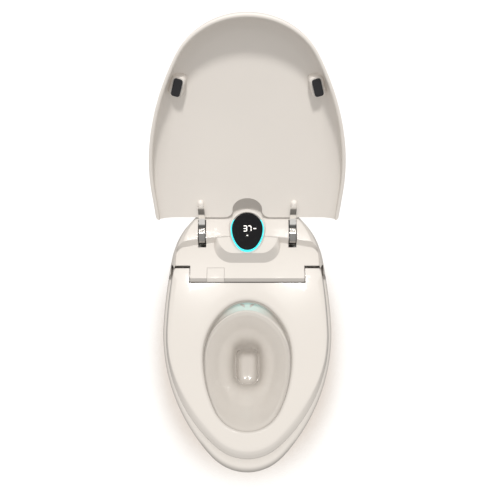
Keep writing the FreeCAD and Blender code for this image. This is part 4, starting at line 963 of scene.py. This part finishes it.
LAMP_WHITE = (1.0, 0.99, 0.975)
KEY = dict(toward=(0.0, -0.02, 1.0), strength=2.15, width=7.0)
GLEAM = dict(place=(0.20, 0.35, 1.61), target=(0.10, -0.01, 0.43), size=(0.16, 0.07), power=1.1)
GLEAM_WHITE = (1.0, 0.99, 0.97)
FLOOR_SIZE = 12.0
FLOOR_BOUNCE = (0.24, 0.235, 0.23, 1.0)
FLOOR_LIFT = 0.10
FLOOR_LIGHT = (1.0, 0.995, 0.99, 1.0)
FOOT_SHADE = (0.50, 0.44, 0.39, 1.0)
OPEN_FLOOR = (0.82, 0.815, 0.81, 1.0)
FOOT_SHADE_REACH = 0.20
FOOT_SHADE_SPAN = (0.80, 0.93)
ROOM_LIGHT = 0.66
PICTURE_SIZE = 500.0
FOCAL_LENGTH = 533.0
SENSOR = 36.0
CAMERA_SHIFT = 0.0054
CAMERA_PLACE = (0.0, -0.36788, 1.61365)
CAMERA_TILT = 21.0


def sun(name, toward, strength, width):
    """A far soft light: the direction it comes from, its strength and how many degrees wide it is."""
    lamp = bpy.data.lights.new(name, "SUN")
    lamp.energy = strength
    lamp.angle = math.radians(width)
    lamp.color = LAMP_WHITE
    obj = bpy.data.objects.new(name, lamp)
    obj.rotation_euler = Vector(toward).to_track_quat("Z", "Y").to_euler()
    obj.visible_glossy = False
    bpy.context.collection.objects.link(obj)
    return obj


def gleam(side):
    """A small lamp that only shows as a soft gleam on the seat's rear shoulders."""
    place, target = [Vector((side * x, y, z)) for x, y, z in (GLEAM["place"], GLEAM["target"])]
    lamp = bpy.data.lights.new("gleam", "AREA")
    lamp.shape = "RECTANGLE"
    lamp.size, lamp.size_y = GLEAM["size"]
    lamp.energy = GLEAM["power"]
    lamp.color = GLEAM_WHITE
    obj = bpy.data.objects.new("gleam", lamp)
    obj.location = place
    obj.rotation_euler = (target - place).to_track_quat("-Z", "Y").to_euler()
    obj.visible_diffuse = False
    bpy.context.collection.objects.link(obj)
    return obj


def floor_finish():
    """A pale floor, warmly shaded near the foot, that throws little light back up at the object."""
    material, tree = new_material("floor")
    shader = tree.nodes["Principled BSDF"]
    shader.inputs["Roughness"].default_value = 0.9
    shader.inputs["Specular IOR Level"].default_value = 0.0
    shader.inputs["Emission Color"].default_value = FLOOR_LIGHT
    path = node(tree, "LightPath")
    lift = node(tree, "Math", {1: FLOOR_LIFT}, operation="MULTIPLY")
    shade = node(tree, "Mix", {"A": FLOOR_BOUNCE}, data_type="RGBA")
    near = node(tree, "AmbientOcclusion", {"Distance": FOOT_SHADE_REACH}, samples=12)
    tone = node(tree, "ValToRGB")
    for stop, place, colour in zip(tone.color_ramp.elements, FOOT_SHADE_SPAN, (FOOT_SHADE, OPEN_FLOOR)):
        stop.position = place
        stop.color = colour
    wire(tree, near, "AO", tone, "Fac")
    wire(tree, tone, "Color", shade, "B")
    wire(tree, path, "Is Camera Ray", shade, "Factor")
    wire(tree, shade, "Result", shader, "Base Color")
    wire(tree, path, "Is Camera Ray", lift, 0)
    wire(tree, lift, "Value", shader, "Emission Strength")
    return material


def floor():
    """A plain floor under the object."""
    mesh = bpy.data.meshes.new("floor")
    corners = [(sx * FLOOR_SIZE, sy * FLOOR_SIZE, 0.0) for sx, sy in ((-1, -1), (1, -1), (1, 1), (-1, 1))]
    mesh.from_pydata(corners, [], [(0, 1, 2, 3)])
    obj = bpy.data.objects.new("floor", mesh)
    bpy.context.collection.objects.link(obj)
    mesh.materials.append(floor_finish())
    return obj


def world():
    """Even light from all round."""
    scene = bpy.context.scene
    scene.world = bpy.data.worlds.new("room")
    scene.world.use_nodes = True
    back = scene.world.node_tree.nodes["Background"]
    back.inputs["Color"].default_value = (*LAMP_WHITE, 1.0)
    back.inputs["Strength"].default_value = ROOM_LIGHT


def camera():
    """The photograph's camera: its focal length is in the picture's own pixels."""
    data = bpy.data.cameras.new("camera")
    data.lens = FOCAL_LENGTH / PICTURE_SIZE * SENSOR
    data.sensor_width = SENSOR
    data.shift_x = CAMERA_SHIFT
    obj = bpy.data.objects.new("camera", data)
    obj.location = CAMERA_PLACE
    obj.rotation_euler = (math.radians(CAMERA_TILT), 0.0, 0.0)
    bpy.context.collection.objects.link(obj)
    bpy.context.scene.camera = obj


def build():
    dress_cad()
    piece(ceramic(), "ceramic", "base", "ceramic_bowl")
    piece(seat_surface(), "seat_plastic", "seat", "seat_cover")
    piece(lid_surface(), "lid_plastic", "lid", "lid_shell")
    piece(display_marks(), "lit_marks", "base")
    floor()
    world()
    for side in (-1.0, 1.0):
        gleam(side)
    sun("key", **KEY)
    bpy.context.scene.view_settings.view_transform = "Standard"
    camera()


build()
